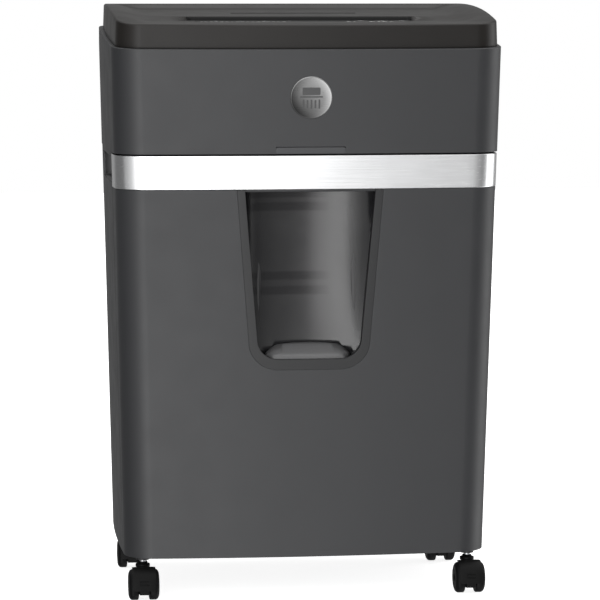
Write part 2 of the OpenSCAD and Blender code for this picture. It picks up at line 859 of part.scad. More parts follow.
module bin_front_panel() {
    inner = cab_inset + wall;
    inner_x = tub_half + 14;
    roof_z = band_top - wall;
    roof_back_y = -84;
    root = 1; // how far the bosses run into the wall
    floor_back_y = front_at(cabinet_z) + wall + 1;
    color(c_body) difference() {
        union() {
            difference() {
                body_form(cabinet_z, band_top, cab_inset);
                difference() {
                    body_form(cabinet_z - cover, band_top + cover, cab_inset - 5);
                    body_form(cabinet_z - cover, band_top + cover, cab_inset + band_t + 0.1);
                    box([-far, -far, 0], [far, far, band_z - 0.1]);
                }
                body_form(cabinet_z + wall, band_z - wall, inner);
                body_form(band_z - wall - cover, band_top - wall, inner + band_t);
                box([-far, return_y, 0], [far, far, far]);
            }
            for (x = [-boss_x, boss_x], z = boss_z) intersection() {
                bar_y(-130, tub_front_y - tub_t, x, z, boss_r);
                body_form(cabinet_z, band_top, inner - root);
            }
            intersection() {
                box([switch_x - 8, -130, plunger_z - 8], [switch_x + 8, plunger_y - 0.5, band_top - root]);
                body_form(cabinet_z, band_top, inner + band_t - root);
            }
        }
        window_prism(frame_top + 0.2, frame_foot + 0.2, frame_z - 0.2, frame_r, band_z);
        scoop_room();
        box([-inner_x, tub_front_y - tub_t, 0], [inner_x, far, roof_z + cover]);
        box([-inner_x, floor_back_y, 0], [inner_x, far, base_top + 2]);
        box([-far, roof_back_y, roof_z - cover], [far, far, far]);
        box([switch_x - 9, plunger_y + 3, roof_z - cover], [switch_x + 9, far, far]);
        for (x = [-boss_x, boss_x], z = boss_z) bar_y(tub_front_y - 14, 0, x, z, 1.5);
    }
}

module bin_band() {
    outer = cab_inset - 0.2;
    color(c_silver) difference() {
        body_form(band_z, band_top, outer);
        body_form(band_z - cover, band_top + cover, cab_inset + band_t);
        box([-far, return_y, 0], [far, far, far]);
    }
}

module window_frame() {
    color(c_black) intersection() {
        difference() {
            window_prism(frame_top, frame_foot, frame_z, frame_r, band_z - 0.2);
            window_prism(inner_top, inner_foot, inner_z, inner_r, band_z + 5);
        }
        difference() {
            body_form(cabinet_z + 2, band_top, cab_inset + 0.1);
            body_form(cabinet_z, band_top + cover, cab_inset + frame_t);
        }
    }
}

// Concave rings of the scoop: a half ellipse behind the front, tapering with the window
scoop_steps = 16;
scoop_foot = inner_z - 1;
scoop_top = band_top - 3.4;
scoop_front = 5.9;
mouth = 30; // how far the cutting form of the scoop runs out in front

function scoop_half(z) = inner_top + 1.5 - (inner_top - inner_foot) * (band_z - z) / (band_z - inner_z);
function scoop_mouth(x, z) = front_at(z) - front_bow * (1 - pow(x / half_w(z), 2)) + scoop_front;
function scoop_ring(z, grow, lift) =
    let (w = scoop_half(z) + grow, d = scoop_depth - scoop_front + grow)
    [for (i = [0:scoop_steps]) let (t = 180 * i / scoop_steps)
        let (x = w * cos(t), back = max(0, sin(t)))
        [x, scoop_mouth(x, z) + d * back, z + lift * back]];
function open_ring(z, grow, lift) =
    let (r = scoop_ring(z, grow, lift))
    let (drop = lift * mouth / (scoop_depth - scoop_front + grow))
    concat([[r[0].x, r[0].y - mouth, z - drop]], r, [[r[scoop_steps].x, r[0].y - mouth, z - drop]]);

// The space that the scoop needs in the panel and in the tub's front wall
module scoop_room() {
    g = scoop_wall + scoop_fit;
    skin([scoop_ring(scoop_foot - scoop_fit, g, 0), scoop_ring(scoop_top + 0.3, g, 0)]);
}

module scoop_window() {
    color(c_smoke) difference() {
        skin([scoop_ring(scoop_foot, scoop_wall, 0), scoop_ring(scoop_top, scoop_wall, 0)]);
        skin([open_ring(scoop_foot + 1.5, 0, ledge_rise), open_ring(scoop_top + 5, 0, 0)]);
    }
}

module bin_tub() {
    x = tub_half;
    color(c_black) union() {
        difference() {
            box([-x, tub_front_y - tub_t, tub_z], [x, tub_rear_y, tub_top]);
            box([-x + tub_t, tub_front_y, tub_z + tub_t], [x - tub_t, tub_rear_y - tub_t, tub_top + 1]);
            scoop_room();
            for (s = [-boss_x, boss_x], z = boss_z) bar_y(tub_front_y - 5, tub_front_y + 5, s, z, 1.7);
        }
        for (z = rib_z) box([-x + tub_t, tub_rear_y - 7, z], [x - tub_t, tub_rear_y - tub_t, z + 6]);
        for (s = [-1, 1]) {
            box([s * rail_x - 7, tub_front_y, base_top + 2], [s * rail_x + 7, tub_rear_y, tub_z]);
        }
    }
}

module bin_screws() {
    color(c_steel) for (x = [-boss_x, boss_x], z = boss_z) union() {
        bar_y(tub_front_y - 12, tub_front_y, x, z, 1.5);
        bar_y(tub_front_y, tub_front_y + 1.6, x, z, 3.2);
    }
}

// ---------- Casters ----------

module at_axle(x, y) {
    translate([x, y - trail, axle_z]) children();
}

hood_cut_z = -4; // the hood's lower edge, from the axle
boss_foot = axle_z + hood_r - 4;
boss_top = 35.5;

module caster_housing(x, y) {
    web = wheel_gap / 2 - 0.5;
    color(c_black) difference() {
        union() {
            at_axle(x, y) difference() {
                bar_x(-hood_half, hood_half, 0, 0, hood_r);
                bar_x(-far, far, 0, 0, hood_in);
                box([-far, -far, -far], [far, far, hood_cut_z]);
                box([-far, 7, -far], [far, far, far]);
            }
            at_axle(x, y) intersection() {
                bar_x(-web, web, 0, 0, hood_r - 0.3);
                box([-far, -far, -9], [far, far, far]);
            }
            at_axle(x, y) box([-web, 0, -3], [web, trail, hood_r - 3]);
            translate([x, y, axle_z - 3]) cylinder(h = hood_r, r = web);
            translate([x, y, boss_foot]) cylinder(h = boss_top - boss_foot, r = web - 0.2);
        }
        at_axle(x, y) bar_x(-far, far, 0, 0, axle_r);
        translate([x, y, 20]) cylinder(h = 30, r = stem_r + run_fit);
    }
}

module caster_axle(x, y) {
    color(c_steel) at_axle(x, y) bar_x(-wheel_gap / 2 - 7, wheel_gap / 2 + 7, 0, 0, axle_r);
}

// A wheel with a flat tread and a domed outer face; side is -1 or 1 along X
module caster_wheel(x, y, side) {
    dome = 5.2;
    dome_flat = 0.72; // height of the dome as a share of its radius
    in = wheel_gap / 2;
    tread = in + wheel_w - dome * dome_flat;
    rim = [for (i = [0:5]) let (t = 15 * i)
        [wheel_r - dome + dome * cos(t), tread + dome * dome_flat * sin(t) / sin(75)]];
    color(c_black) at_axle(x, y) rotate([0, 90 * side, 0]) difference() {
        rotate_extrude()
            polygon(concat([[0, in], [wheel_r - 1, in], [wheel_r, in + 1]], rim, [[0, in + wheel_w]]));
        translate([0, 0, in - 1]) cylinder(h = 8.6, r = axle_r + run_fit);
    }
}

cabinet_shell();
base_plate();
caster_stems();
bin_rails();
head_skirt();
head_floor();
top_deck();
control_overlay();
indicator_lenses();
head_tab();
badge_disc();
feed_throat();
left_side_plate();
right_side_plate();
tie_rods();
cutter_bushes();
front_stripper_comb();
rear_stripper_comb();
gear_stud();
motor_can();
control_board();
interlock_switch();
cord_gland();
rocker_bezel();
rear_cover();
cover_screws();
bin_front_panel();
bin_band();
window_frame();
scoop_window();
bin_tub();
bin_screws();
front_cutter();
front_sync_gear();
rear_cutter();
rear_sync_gear();
main_gear();
compound_gear();
motor_pinion();
soft_key(0);  // auto_key
soft_key(1);  // reverse_key
soft_key(2);  // forward_key
power_rocker();
interlock_plunger();
caster_housing(-stem_x, stem_front_y);  // caster_fl_housing
caster_housing(stem_x, stem_front_y);  // caster_fr_housing
caster_housing(-stem_x, stem_rear_y);  // caster_rl_housing
caster_housing(stem_x, stem_rear_y);  // caster_rr_housing
caster_axle(-stem_x, stem_front_y);  // caster_fl_axle
caster_axle(stem_x, stem_front_y);  // caster_fr_axle
caster_axle(-stem_x, stem_rear_y);  // caster_rl_axle
caster_axle(stem_x, stem_rear_y);  // caster_rr_axle
caster_wheel(-stem_x, stem_front_y, -1);  // caster_fl_wheel_l
caster_wheel(-stem_x, stem_front_y, 1);  // caster_fl_wheel_r
caster_wheel(stem_x, stem_front_y, -1);  // caster_fr_wheel_l
caster_wheel(stem_x, stem_front_y, 1);  // caster_fr_wheel_r
caster_wheel(-stem_x, stem_rear_y, -1);  // caster_rl_wheel_l
caster_wheel(-stem_x, stem_rear_y, 1);  // caster_rl_wheel_r
caster_wheel(stem_x, stem_rear_y, -1);  // caster_rr_wheel_l
caster_wheel(stem_x, stem_rear_y, 1);  // caster_rr_wheel_r
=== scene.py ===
import json
import math

import bmesh
import bpy
import numpy as np
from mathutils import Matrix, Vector
from mathutils.geometry import delaunay_2d_cdt


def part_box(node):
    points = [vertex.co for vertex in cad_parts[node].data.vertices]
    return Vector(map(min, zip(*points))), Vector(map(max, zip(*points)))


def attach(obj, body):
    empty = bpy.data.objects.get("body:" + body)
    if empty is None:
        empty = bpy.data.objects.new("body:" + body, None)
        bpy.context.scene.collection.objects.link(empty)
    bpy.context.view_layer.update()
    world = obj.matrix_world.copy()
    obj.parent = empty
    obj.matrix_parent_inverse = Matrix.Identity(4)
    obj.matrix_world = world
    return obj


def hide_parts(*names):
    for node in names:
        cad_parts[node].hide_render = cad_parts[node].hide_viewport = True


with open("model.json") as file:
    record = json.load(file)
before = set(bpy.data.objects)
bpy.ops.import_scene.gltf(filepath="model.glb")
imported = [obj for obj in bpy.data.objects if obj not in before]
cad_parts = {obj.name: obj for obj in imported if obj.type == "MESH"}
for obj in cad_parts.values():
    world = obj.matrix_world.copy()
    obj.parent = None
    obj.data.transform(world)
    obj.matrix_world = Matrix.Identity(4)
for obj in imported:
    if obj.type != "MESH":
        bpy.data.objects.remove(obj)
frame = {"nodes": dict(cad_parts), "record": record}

bpy.context.view_layer.update()
NODES = frame["nodes"]
BODY_OF = {node: body for body, group in frame["record"]["behaviour"]["bodies"].items() for node in group}
MM = 0.001

# ---------------------------------------------------------------- sizes

# Shell: the front and the sides lean in by their drafts below the seam and bow out between the corners
REAR_Y = 128.0
FRONT_Y = -119.7
HALF_W = 190.0
SEAM_Z = 532.4
SEAM_RISE = 0.0792
SIDE_DRAFT, FRONT_DRAFT = 0.0223, 0.0513
FRONT_BOW, SIDE_BOW = 8.3, 2.75
FRONT_R, REAR_R = 27.0, 12.0
CABINET_Z = 40.0
SKIRT_Z = 432.3
CAB_INSET = 0.5
WALL = 3.0
RETURN_Y = -62.0
SEAM_GAP = 0.9
BAND_Z, BAND_TOP, BAND_T = 398.5, 430.8, 2.0
# Deck: a crowned top, a flat apron before the paper slot and a dish behind it
TOP_Z, TOP_R, TOP_CREST_Y = 574.0, 1330.0, 101.0
APRON_Z, APRON_RISE, FLOOR_Z, FLOOR_RISE = 556.0, 0.024, 561.7, 0.059
DISH_HALF, DISH_REAR_Y = 160.0, 96.0
DECK_STEP, DECK_LEAN = 3.5, 0.035
SLOT_Y, SLOT_HALF, SLOT_GAP = -31.5, 110.5, 2.6
DISC_Y, DISC_HALF = 22.0, 62.0
SLOT_FLARE = 2.6
# Window outlines: half width at the band, half width at the foot, height of the foot and corner radius
FRAME_OUT = (70.5, 56.5, 224.0, 27.0)
FRAME_IN = (63.0, 49.0, 234.0, 19.5)
SCOOP_DEPTH, SCOOP_FRONT = 36.0, 5.9


def half_w(z):
    return HALF_W - SIDE_DRAFT * np.maximum(0, SEAM_Z - z)


def front_at(z):
    return FRONT_Y + FRONT_DRAFT * np.maximum(0, SEAM_Z - z)


def bowed_front(x, z):
    """Where the shell's front lies at x and z."""
    return front_at(z) - FRONT_BOW * (1 - (x / half_w(z)) ** 2)


def plan(part, f, z, inset, end_y=None, start_y=None):
    """Points of the body's outline at heights z, where f runs 0 to 1 along the part.

    Parts: 0 right side, 1 front right corner, 2 front, 3 front left corner, 4 left side, 5 rear left corner,
    6 rear, 7 rear right corner.
    """
    part, f, z, inset = np.broadcast_arrays(part, *(np.asarray(value, float) for value in (f, z, inset)))
    hw, yf, yr = half_w(z) - inset, front_at(z) + inset, REAR_Y - inset
    rf, rr = np.maximum(4, FRONT_R - inset), np.maximum(3, REAR_R - inset)
    side_end = yr - rr if end_y is None else end_y
    side_start = yf + rf if start_y is None else start_y
    turn = np.radians(90 * f)
    here = [part == index for index in range(8)]
    x = np.select(here, [
        hw, hw - rf + rf * np.cos(turn), (hw - rf) * (1 - 2 * f), -hw + rf - rf * np.sin(turn),
        -hw, -hw + rr - rr * np.cos(turn), (hw - rr) * (2 * f - 1), hw - rr + rr * np.sin(turn)])
    y = np.select(here, [
        side_end + (side_start - side_end) * f, yf + rf - rf * np.sin(turn), yf, yf + rf - rf * np.cos(turn),
        side_start + (side_end - side_start) * f, yr - rr + rr * np.sin(turn), yr,
        yr - rr + rr * np.cos(turn)])
    middle, half = (yf + yr) / 2, (yr - yf) / 2
    t = (y - middle) / half
    across = np.minimum(1, np.abs(x) / hw)
    forward = np.clip(-t, 0, 1)
    return (x - np.sign(x) * SIDE_BOW * t * t * across,
            y - FRONT_BOW * (1 - (x / hw) ** 2) * forward)


def path(lengths, steps):
    """(part, fraction, distance) along the outline's parts, given each part's nominal length and steps."""
    part, fraction, distance, start = [], [], [], 0.0
    for index, length in lengths:
        count = steps[index]
        for i in range(count):
            part.append(index)
            fraction.append(i / count)
            distance.append(start + length * i / count)
        start += length
    part.append(lengths[-1][0])
    fraction.append(1.0)
    distance.append(start)
    return np.array(part), np.array(fraction), np.array(distance)


# Nominal lengths of the outline's parts; a side is short where it ends at the bin's return
PART_LENGTH = {0: 45, 1: 42.4, 2: 326, 3: 42.4, 4: 45, 5: 18.8, 6: 350, 7: 18.8}
LONG_SIDE = 180


class Skin:
    """Maps distance u along the outline and height v to the body's surface."""

    def __init__(self, parts, steps, inset, end_y=None, start_y=None):
        side = {0: LONG_SIDE, 4: LONG_SIDE} if end_y is None else {}
        self.lengths = [(part, side.get(part, PART_LENGTH[part])) for part in parts]
        self.part, self.fraction, self.u = path(self.lengths, steps)
        self.inset, self.end_y, self.start_y = inset, end_y, start_y
        self.length = self.u[-1]

    def locate(self, u):
        part, fraction, start = np.zeros(len(u), int), np.zeros(len(u)), 0.0
        for index, length in self.lengths:
            here = (u >= start - 1e-9) & (u <= start + length + 1e-9)
            part[here] = index
            fraction[here] = np.clip((u[here] - start) / length, 0, 1)
            start += length
        return part, fraction

    def place(self, u, z, inset=None):
        part, fraction = self.locate(np.asarray(u, float))
        x, y = plan(part, fraction, z, self.inset if inset is None else inset, self.end_y, self.start_y)
        return np.column_stack([x, y, np.broadcast_to(z, x.shape)])


# ---------------------------------------------------------------- mesh tools

def inside(points, loops):
    """Whether each point lies within an odd number of the closed loops."""
    odd = np.zeros(len(points), bool)
    px, py = points[:, 0][:, None], points[:, 1][:, None]
    for loop in loops:
        a, b = np.asarray(loop, float), np.roll(np.asarray(loop, float), -1, axis=0)
        crosses = (a[:, 1] > py) != (b[:, 1] > py)
        span = np.where(b[:, 1] == a[:, 1], 1.0, b[:, 1] - a[:, 1])
        at = a[:, 0] + (py - a[:, 1]) * (b[:, 0] - a[:, 0]) / span
        odd ^= (np.sum(crosses & (px < at), axis=1) % 2).astype(bool)
    return odd


def clear_of(points, loops, gap):
    """Whether each point is further than gap from every edge of the loops."""
    keep = np.ones(len(points), bool)
    for loop in loops:
        a, b = np.asarray(loop, float), np.roll(np.asarray(loop, float), -1, axis=0)
        along = b - a
        size = np.maximum(np.sum(along ** 2, axis=1), 1e-12)
        for start in range(0, len(points), 2000):
            block = points[start:start + 2000]
            to = block[:, None, :] - a[None]
            t = np.clip(np.sum(to * along, axis=2) / size, 0, 1)
            away = np.linalg.norm(to - t[..., None] * along, axis=2).min(axis=1)
            keep[start:start + 2000] &= away > gap
    return keep


def triangulate(loops, creases, points, gap):
    """Delaunay triangles over the region within the loops; edges also follow the closed creases."""
    points = np.asarray(points, float).reshape(-1, 2)
    points = points[inside(points, loops)]
    points = points[clear_of(points, list(loops) + list(creases), gap)]
    coords, edges = [], []
    for loop in list(loops) + list(creases):
        first = len(coords)
        coords += [tuple(p) for p in loop]
        edges += [(first + i, first + (i + 1) % len(loop)) for i in range(len(loop))]
    coords += [tuple(p) for p in points]
    flat, _, faces, _, _, _ = delaunay_2d_cdt([Vector(c) for c in coords], edges, [], 0, 1e-5)
    flat = np.array([tuple(v) for v in flat])
    faces = np.array([f for f in faces if len(f) == 3])
    faces = faces[inside(flat[faces].mean(axis=1), loops)]
    return flat, faces


def make(name, parts):
    """One mesh object from a list of (points in mm, faces)."""
    points, faces = [], []
    for more_points, more_faces in parts:
        first = sum(len(p) for p in points)
        points.append(np.asarray(more_points, float))
        faces += [tuple(int(i) + first for i in face) for face in more_faces]
    mesh = bpy.data.meshes.new(name)
    mesh.from_pydata((np.vstack(points) * MM).tolist(), [], faces)
    built = bmesh.new()
    built.from_mesh(mesh)
    bmesh.ops.remove_doubles(built, verts=built.verts, dist=1e-6)
    bmesh.ops.recalc_face_normals(built, faces=built.faces)
    built.to_mesh(mesh)
    built.free()
    mesh.shade_smooth()
    piece = bpy.data.objects.new(name, mesh)
    bpy.context.scene.collection.objects.link(piece)
    return piece


def face_outward(piece, toward=None):
    """Turns the mesh's faces away from the middle of the piece, or to one side if toward is given."""
    mesh = piece.data
    centre = np.mean([v.co for v in mesh.vertices], axis=0)
    score = 0.0
    for face in mesh.polygons:
        way = np.array(face.center) - centre if toward is None else np.array(toward)
        score += face.area * float(np.dot(way, face.normal))
    if score < 0:
        mesh.flip_normals()
    return piece


def loft(rings, close=True, cap_first=False, cap_last=False):
    """Faces through rings of equal numbers of points."""
    n = len(rings[0])
    faces = []
    for k in range(len(rings) - 1):
        for i in range(n if close else n - 1):
            j = (i + 1) % n
            faces.append((k * n + i, k * n + j, (k + 1) * n + j, (k + 1) * n + i))
    if cap_first:
        faces.append(tuple(range(n)))
    if cap_last:
        faces.append(tuple((len(rings) - 1) * n + i for i in range(n)))
    return np.vstack(rings), faces


def lathe(profile, steps, axis="z", centre=(0, 0, 0), start=0.0):
    """A turned shape: profile is (radius, distance along the axis); points on the axis are shared."""
    rings = []
    for radius, along in profile:
        a = np.radians(start) + 2 * np.pi * np.arange(steps) / steps
        c, s, h = radius * np.cos(a), radius * np.sin(a), np.full(steps, along)
        columns = {"x": (h, c, s), "y": (c, -h, s), "z": (c, s, h)}[axis]
        rings.append(np.column_stack(columns) + np.array(centre))
    return loft(rings)


def rounded(cx, cy, half_x, half_y, r, steps=6):
    """Outline of a rectangle with round corners, counterclockwise."""
    points = []
    for sx, sy, start in ((1, 1, 0), (-1, 1, 90), (-1, -1, 180), (1, -1, 270)):
        mid_x, mid_y = cx + sx * (half_x - r), cy + sy * (half_y - r)
        for i in range(steps + 1):
            a = math.radians(start + 90 * i / steps)
            points.append((mid_x + r * math.cos(a), mid_y + r * math.sin(a)))
    return np.array(points)


def dense(loop, pitch):
    """The closed loop with extra points, so that none of its edges is longer than the pitch."""
    points = []
    for a, b in zip(loop, np.roll(loop, -1, axis=0)):
        count = max(1, int(np.ceil(np.linalg.norm(b - a) / pitch)))
        points += [tuple(a + (b - a) * i / count) for i in range(count)]
    return np.array(points)


def modifier(piece, kind, **values):
    added = piece.modifiers.new(kind.title(), kind)
    for key, value in values.items():
        setattr(added, key, value)
    return added


def thicken(piece, thickness):
    modifier(piece, "SOLIDIFY", thickness=thickness * MM, offset=-1, use_even_offset=False)
    return piece


def soften(piece, width, segments=2, angle=40):
    modifier(piece, "BEVEL", width=width * MM, segments=segments, limit_method="ANGLE",
             angle_limit=math.radians(angle), miter_outer="MITER_ARC", use_clamp_overlap=True)
    modifier(piece, "WEIGHTED_NORMAL", mode="FACE_AREA", weight=60, keep_sharp=False)
    return piece


def dress(piece, material, body, slot, *replaced):
    piece.data.materials.clear()
    piece.data.materials.append(material)
    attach(piece, body)
    if replaced:
        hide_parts(*replaced)
    return piece


# ---------------------------------------------------------------- materials

def material(name, **sockets):
    made = bpy.data.materials.new(name)
    made.use_nodes = True
    shader = made.node_tree.nodes["Principled BSDF"]
    for socket, value in sockets.items():
        shader.inputs[socket.replace("_", " ")].default_value = value
    return made, made.node_tree, shader


def node(tree, kind, links=None, **values):
    """Adds a node; links maps its inputs to sockets, values set its properties."""
    added = tree.nodes.new("ShaderNode" + kind)
    for key, value in values.items():
        setattr(added, key, value)
    for key, source in (links or {}).items():
        if isinstance(source, bpy.types.NodeSocket):
            tree.links.new(source, added.inputs[key])
        else:
            added.inputs[key].default_value = source
    return added


def grain(tree, scale, detail=2.0, stretch=(1, 1, 1), roughness=0.5):
    """Noise over the object's own coordinates; scale is in cycles per metre."""
    place = node(tree, "TexCoord").outputs["Object"]
    mapped = node(tree, "Mapping", {"Vector": place, "Scale": stretch}).outputs["Vector"]
    return node(tree, "TexNoise", {"Vector": mapped, "Scale": scale, "Detail": detail,
                                   "Roughness": roughness}).outputs["Fac"]


def spread(tree, source, low, high, from_low=0.3, from_high=0.7):
    return node(tree, "MapRange", {"Value": source, "From Min": from_low, "From Max": from_high,
                                   "To Min": low, "To Max": high}).outputs["Result"]


def ramp(tree, source, stops, blend="LINEAR"):
    """Colours through (place, colour) stops in rising order; a single number is a grey."""
    made = node(tree, "ValToRGB", {"Fac": source})
    made.color_ramp.interpolation = blend
    elements = made.color_ramp.elements
    for index, (place, colour) in enumerate(stops):
        element = elements[index] if index < 2 else elements.new(place)
        element.position = place
        element.color = (*np.broadcast_to(colour, 3), 1)
    return made.outputs["Color"]


def shades(tree, source, colours, places=(0.3, 0.7)):
    return ramp(tree, source, zip(places, colours))


def bump(tree, shader, source, depth, strength=1.0):
    bumped = node(tree, "Bump", {"Height": source, "Strength": strength, "Distance": depth})
    tree.links.new(bumped.outputs["Normal"], shader.inputs["Normal"])


def scaled(colour, factor):
    return tuple(c * factor for c in colour)


def moulded(name, colour, roughness, texture=1500.0, depth=4e-5, mottle=0.06, **sockets):
    """Moulded plastic with a spark-eroded skin, faint flow marks and slightly uneven gloss."""
    made, tree, shader = material(name, **sockets)
    flow = grain(tree, 9.0, 3.0, (1, 1, 0.35))
    fine = grain(tree, texture, 3.0, roughness=0.65)
    tone = shades(tree, flow, (scaled(colour, 1 - mottle), scaled(colour, 1 + mottle)))
    speckle = shades(tree, fine, ((0.93, 0.93, 0.93), (1.06, 1.06, 1.06)), (0.35, 0.65))
    mixed = node(tree, "Mix", {6: tone, 7: speckle, 0: 1.0}, data_type="RGBA", blend_type="MULTIPLY")
    tree.links.new(mixed.outputs[2], shader.inputs["Base Color"])
    gloss = spread(tree, grain(tree, 40.0, 4.0), roughness - 0.035, roughness + 0.035)
    tree.links.new(gloss, shader.inputs["Roughness"])
    bump(tree, shader, fine, depth)
    return made


def metal(name, colour, roughness, stretch=(1, 1, 1), scale=900.0, depth=1.5e-5, worn=0.15, **sockets):
    """Bare or plated metal with drawn or ground lines along one axis and patches of duller surface."""
    made, tree, shader = material(name, Metallic=1.0, **sockets)
    lines = grain(tree, scale, 3.0, stretch)
    patches = grain(tree, 55.0, 4.0)
    tone = shades(tree, patches, (scaled(colour, 1 - worn), colour))
    tree.links.new(tone, shader.inputs["Base Color"])
    gloss = spread(tree, lines, roughness - 0.06, roughness + 0.08)
    tree.links.new(gloss, shader.inputs["Roughness"])
    bump(tree, shader, lines, depth)
    return made


# Painted shade: darker bars of weaker reflection in the window, standing in for the tub's ribs seen in shade
# behind it: foot and top in mm, strength of the reflection below and above
PAINTED_SHADE_BARS = ((294.4, 302.4, 1, 0.8), (308.8, 316.8, 0.8, 1), (376.0, 384.0, 1, 0.8), (388.8, 398.4, 0.8, 0))
RIB_BLUR = 0.8


def painted_rib_shade(tree):
    """Strength of the window's reflection over its height: 0 on a painted shade bar and up to 1 off them, all
    1 to the right.
    """
    foot, top = 240.0, 400.0
    levels = [(foot, 1)]
    for low, high, below, above in PAINTED_SHADE_BARS:
        levels += [(low - RIB_BLUR, below), (low + RIB_BLUR, 0)]
        levels += [(high - RIB_BLUR, 0), (high + RIB_BLUR, above)]
    axes = node(tree, "SeparateXYZ", {"Vector": node(tree, "TexCoord").outputs["Object"]}).outputs
    height = spread(tree, axes["Z"], 0.0, 1.0, foot * MM, top * MM)
    bars = ramp(tree, height, [((z - foot) / (top - foot), clear) for z, clear in levels], "EASE")
    side = spread(tree, axes["X"], 0.0, 1.0, -0.005, 0.025)
    return node(tree, "Mix", {0: side, 2: bars, 3: 1.0}, data_type="FLOAT").outputs[0]


def smoked(name):
    """Tinted clear plastic, glossy with faint ripples, with painted shade: darker bars of weaker reflection
    where the tub's ribs sit behind it.
    """
    made, tree, shader = material(name, Alpha=0.9, IOR=1.6)
    # Painted shade: the reflection is weaker on the bars
    tree.links.new(spread(tree, painted_rib_shade(tree), 0.36, 0.6, 0.0, 1.0), shader.inputs["Specular IOR Level"])
    tint = shades(tree, grain(tree, 30.0, 3.0), ((0.010, 0.010, 0.011), (0.016, 0.016, 0.017)))
    tree.links.new(tint, shader.inputs["Base Color"])
    tree.links.new(spread(tree, grain(tree, 120.0, 3.0), 0.13, 0.20), shader.inputs["Roughness"])
    bump(tree, shader, grain(tree, 22.0, 2.0, (1, 1, 0.3)), 2e-4, 0.25)
    return made


def painted_light_badge(name):
    """Finely ground satin metal with painted light: its colour runs from painted shade at the lower left to a
    painted highlight at the upper right.
    """
    made, tree, shader = material(name, Metallic=1.0)
    low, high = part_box("badge_disc")
    axes = node(tree, "SeparateXYZ", {"Vector": node(tree, "TexCoord").outputs["Object"]}).outputs
    across = spread(tree, axes["X"], 0.0, 0.5, low.x, high.x)
    up = spread(tree, axes["Z"], 0.0, 0.5, low.z, high.z)
    way = node(tree, "Math", {0: across, 1: up}, operation="ADD").outputs["Value"]
    # Painted shade and highlight: the base colour grows from dark to bright along the diagonal
    tree.links.new(ramp(tree, way, ((0.14, 0.029), (0.80, 0.29))), shader.inputs["Base Color"])
    lines = grain(tree, 500.0, 2.0, (0.2, 1, 6))
    tree.links.new(spread(tree, lines, 0.26, 0.36), shader.inputs["Roughness"])
    bump(tree, shader, lines, 6e-6)
    return made


GREY = (0.0200, 0.0206, 0.0224)
BROWN = (0.0100, 0.0087, 0.0077)
BLACK = (0.004, 0.004, 0.004)

M = {
    "tab_plastic": moulded("tab_plastic", scaled(GREY, 1.7), 0.42),
    "cabinet_plastic": moulded("cabinet_plastic", GREY, 0.44),
    "black_plastic": moulded("black_plastic", (0.018, 0.018, 0.019), 0.42),
    "deck_plastic": moulded("deck_plastic", BROWN, 0.36, texture=1800.0, depth=3e-5, Specular_IOR_Level=0.28),
    "overlay_gloss": moulded("overlay_gloss", (0.012, 0.012, 0.012), 0.22, texture=300.0, depth=4e-6,
                             mottle=0.03),
    "key_plastic": moulded("key_plastic", (0.030, 0.029, 0.028), 0.5, texture=900.0, depth=2e-5),
    "lens": moulded("lens", (0.42, 0.44, 0.45), 0.2, texture=400.0, depth=5e-6, mottle=0.03),
    "silver_band": metal("silver_band", (0.92, 0.925, 0.935), 0.20, (0.02, 1, 3), 500.0, 4e-6, worn=0.03),
    "silver_badge": painted_light_badge("silver_badge"),
    "frame_plastic": moulded("frame_plastic", (0.0135, 0.0138, 0.0147), 0.40, Specular_IOR_Level=0.42),
    "smoked_window": smoked("smoked_window"),
    "zinc_steel": metal("zinc_steel", (0.62, 0.63, 0.65), 0.33, (1, 1, 8), 260.0),
    "cutter_steel": metal("cutter_steel", (0.50, 0.50, 0.51), 0.30, (6, 1, 1), 420.0),
    "bush_brass": metal("bush_brass", (0.70, 0.52, 0.24), 0.34, (4, 1, 1), 300.0),
    "comb_nylon": moulded("comb_nylon", (0.62, 0.61, 0.56), 0.48, texture=700.0),
    "gear_nylon": moulded("gear_nylon", (0.66, 0.65, 0.60), 0.42, texture=700.0),
    "motor_steel": metal("motor_steel", (0.30, 0.30, 0.32), 0.40, (0.3, 1, 1), 300.0),
    "circuit_board": moulded("circuit_board", (0.02, 0.12, 0.05), 0.35, texture=500.0, mottle=0.2),
    "caster_nylon": moulded("caster_nylon", BLACK, 0.42, texture=1100.0, depth=3e-5, Specular_IOR_Level=0.09),
    # Painted light: a much lighter grey than the smoked window, for the light falling on the window's foot
    "ledge_painted_light": moulded("ledge_painted_light", (0.105, 0.105, 0.107), 0.38, texture=900.0, depth=2e-5),
    # Black plastic painted darker and less glossy than the other black parts: painted shade deep in the slots
    "slot_black_painted_shade": moulded("slot_black_painted_shade", (0.004, 0.004, 0.004), 0.5, texture=900.0, Specular_IOR_Level=0.15),
    "wheel_nylon": moulded("wheel_nylon", (0.004, 0.004, 0.0042), 0.40, texture=900.0, depth=3e-5,
                           Specular_IOR_Level=0.08),
    "print_white": moulded("print_white", (0.75, 0.75, 0.73), 0.5, texture=900.0, depth=3e-6, mottle=0.04),
    "mark_dark": moulded("mark_dark", (0.045, 0.045, 0.046), 0.45, texture=900.0, depth=1e-5),
}


# ---------------------------------------------------------------- panels

def step(t):
    """Rises smoothly from 0 to 1 as t does."""
    t = np.clip(t, 0, 1)
    return t * t * (3 - 2 * t)


def front_u(skin, x, z):
    """Distance along the skin of the point of its front that has the given x."""
    x, z = np.asarray(x, float), np.asarray(z, float)
    hw = half_w(z) - skin.inset
    before_front = [p for p, _ in skin.lengths].index(2)
    start = sum(length for _, length in skin.lengths[:before_front])
    raw = x / (1 - SIDE_BOW / hw)
    return start + PART_LENGTH[2] * (1 - raw / (hw - FRONT_R + skin.inset)) / 2


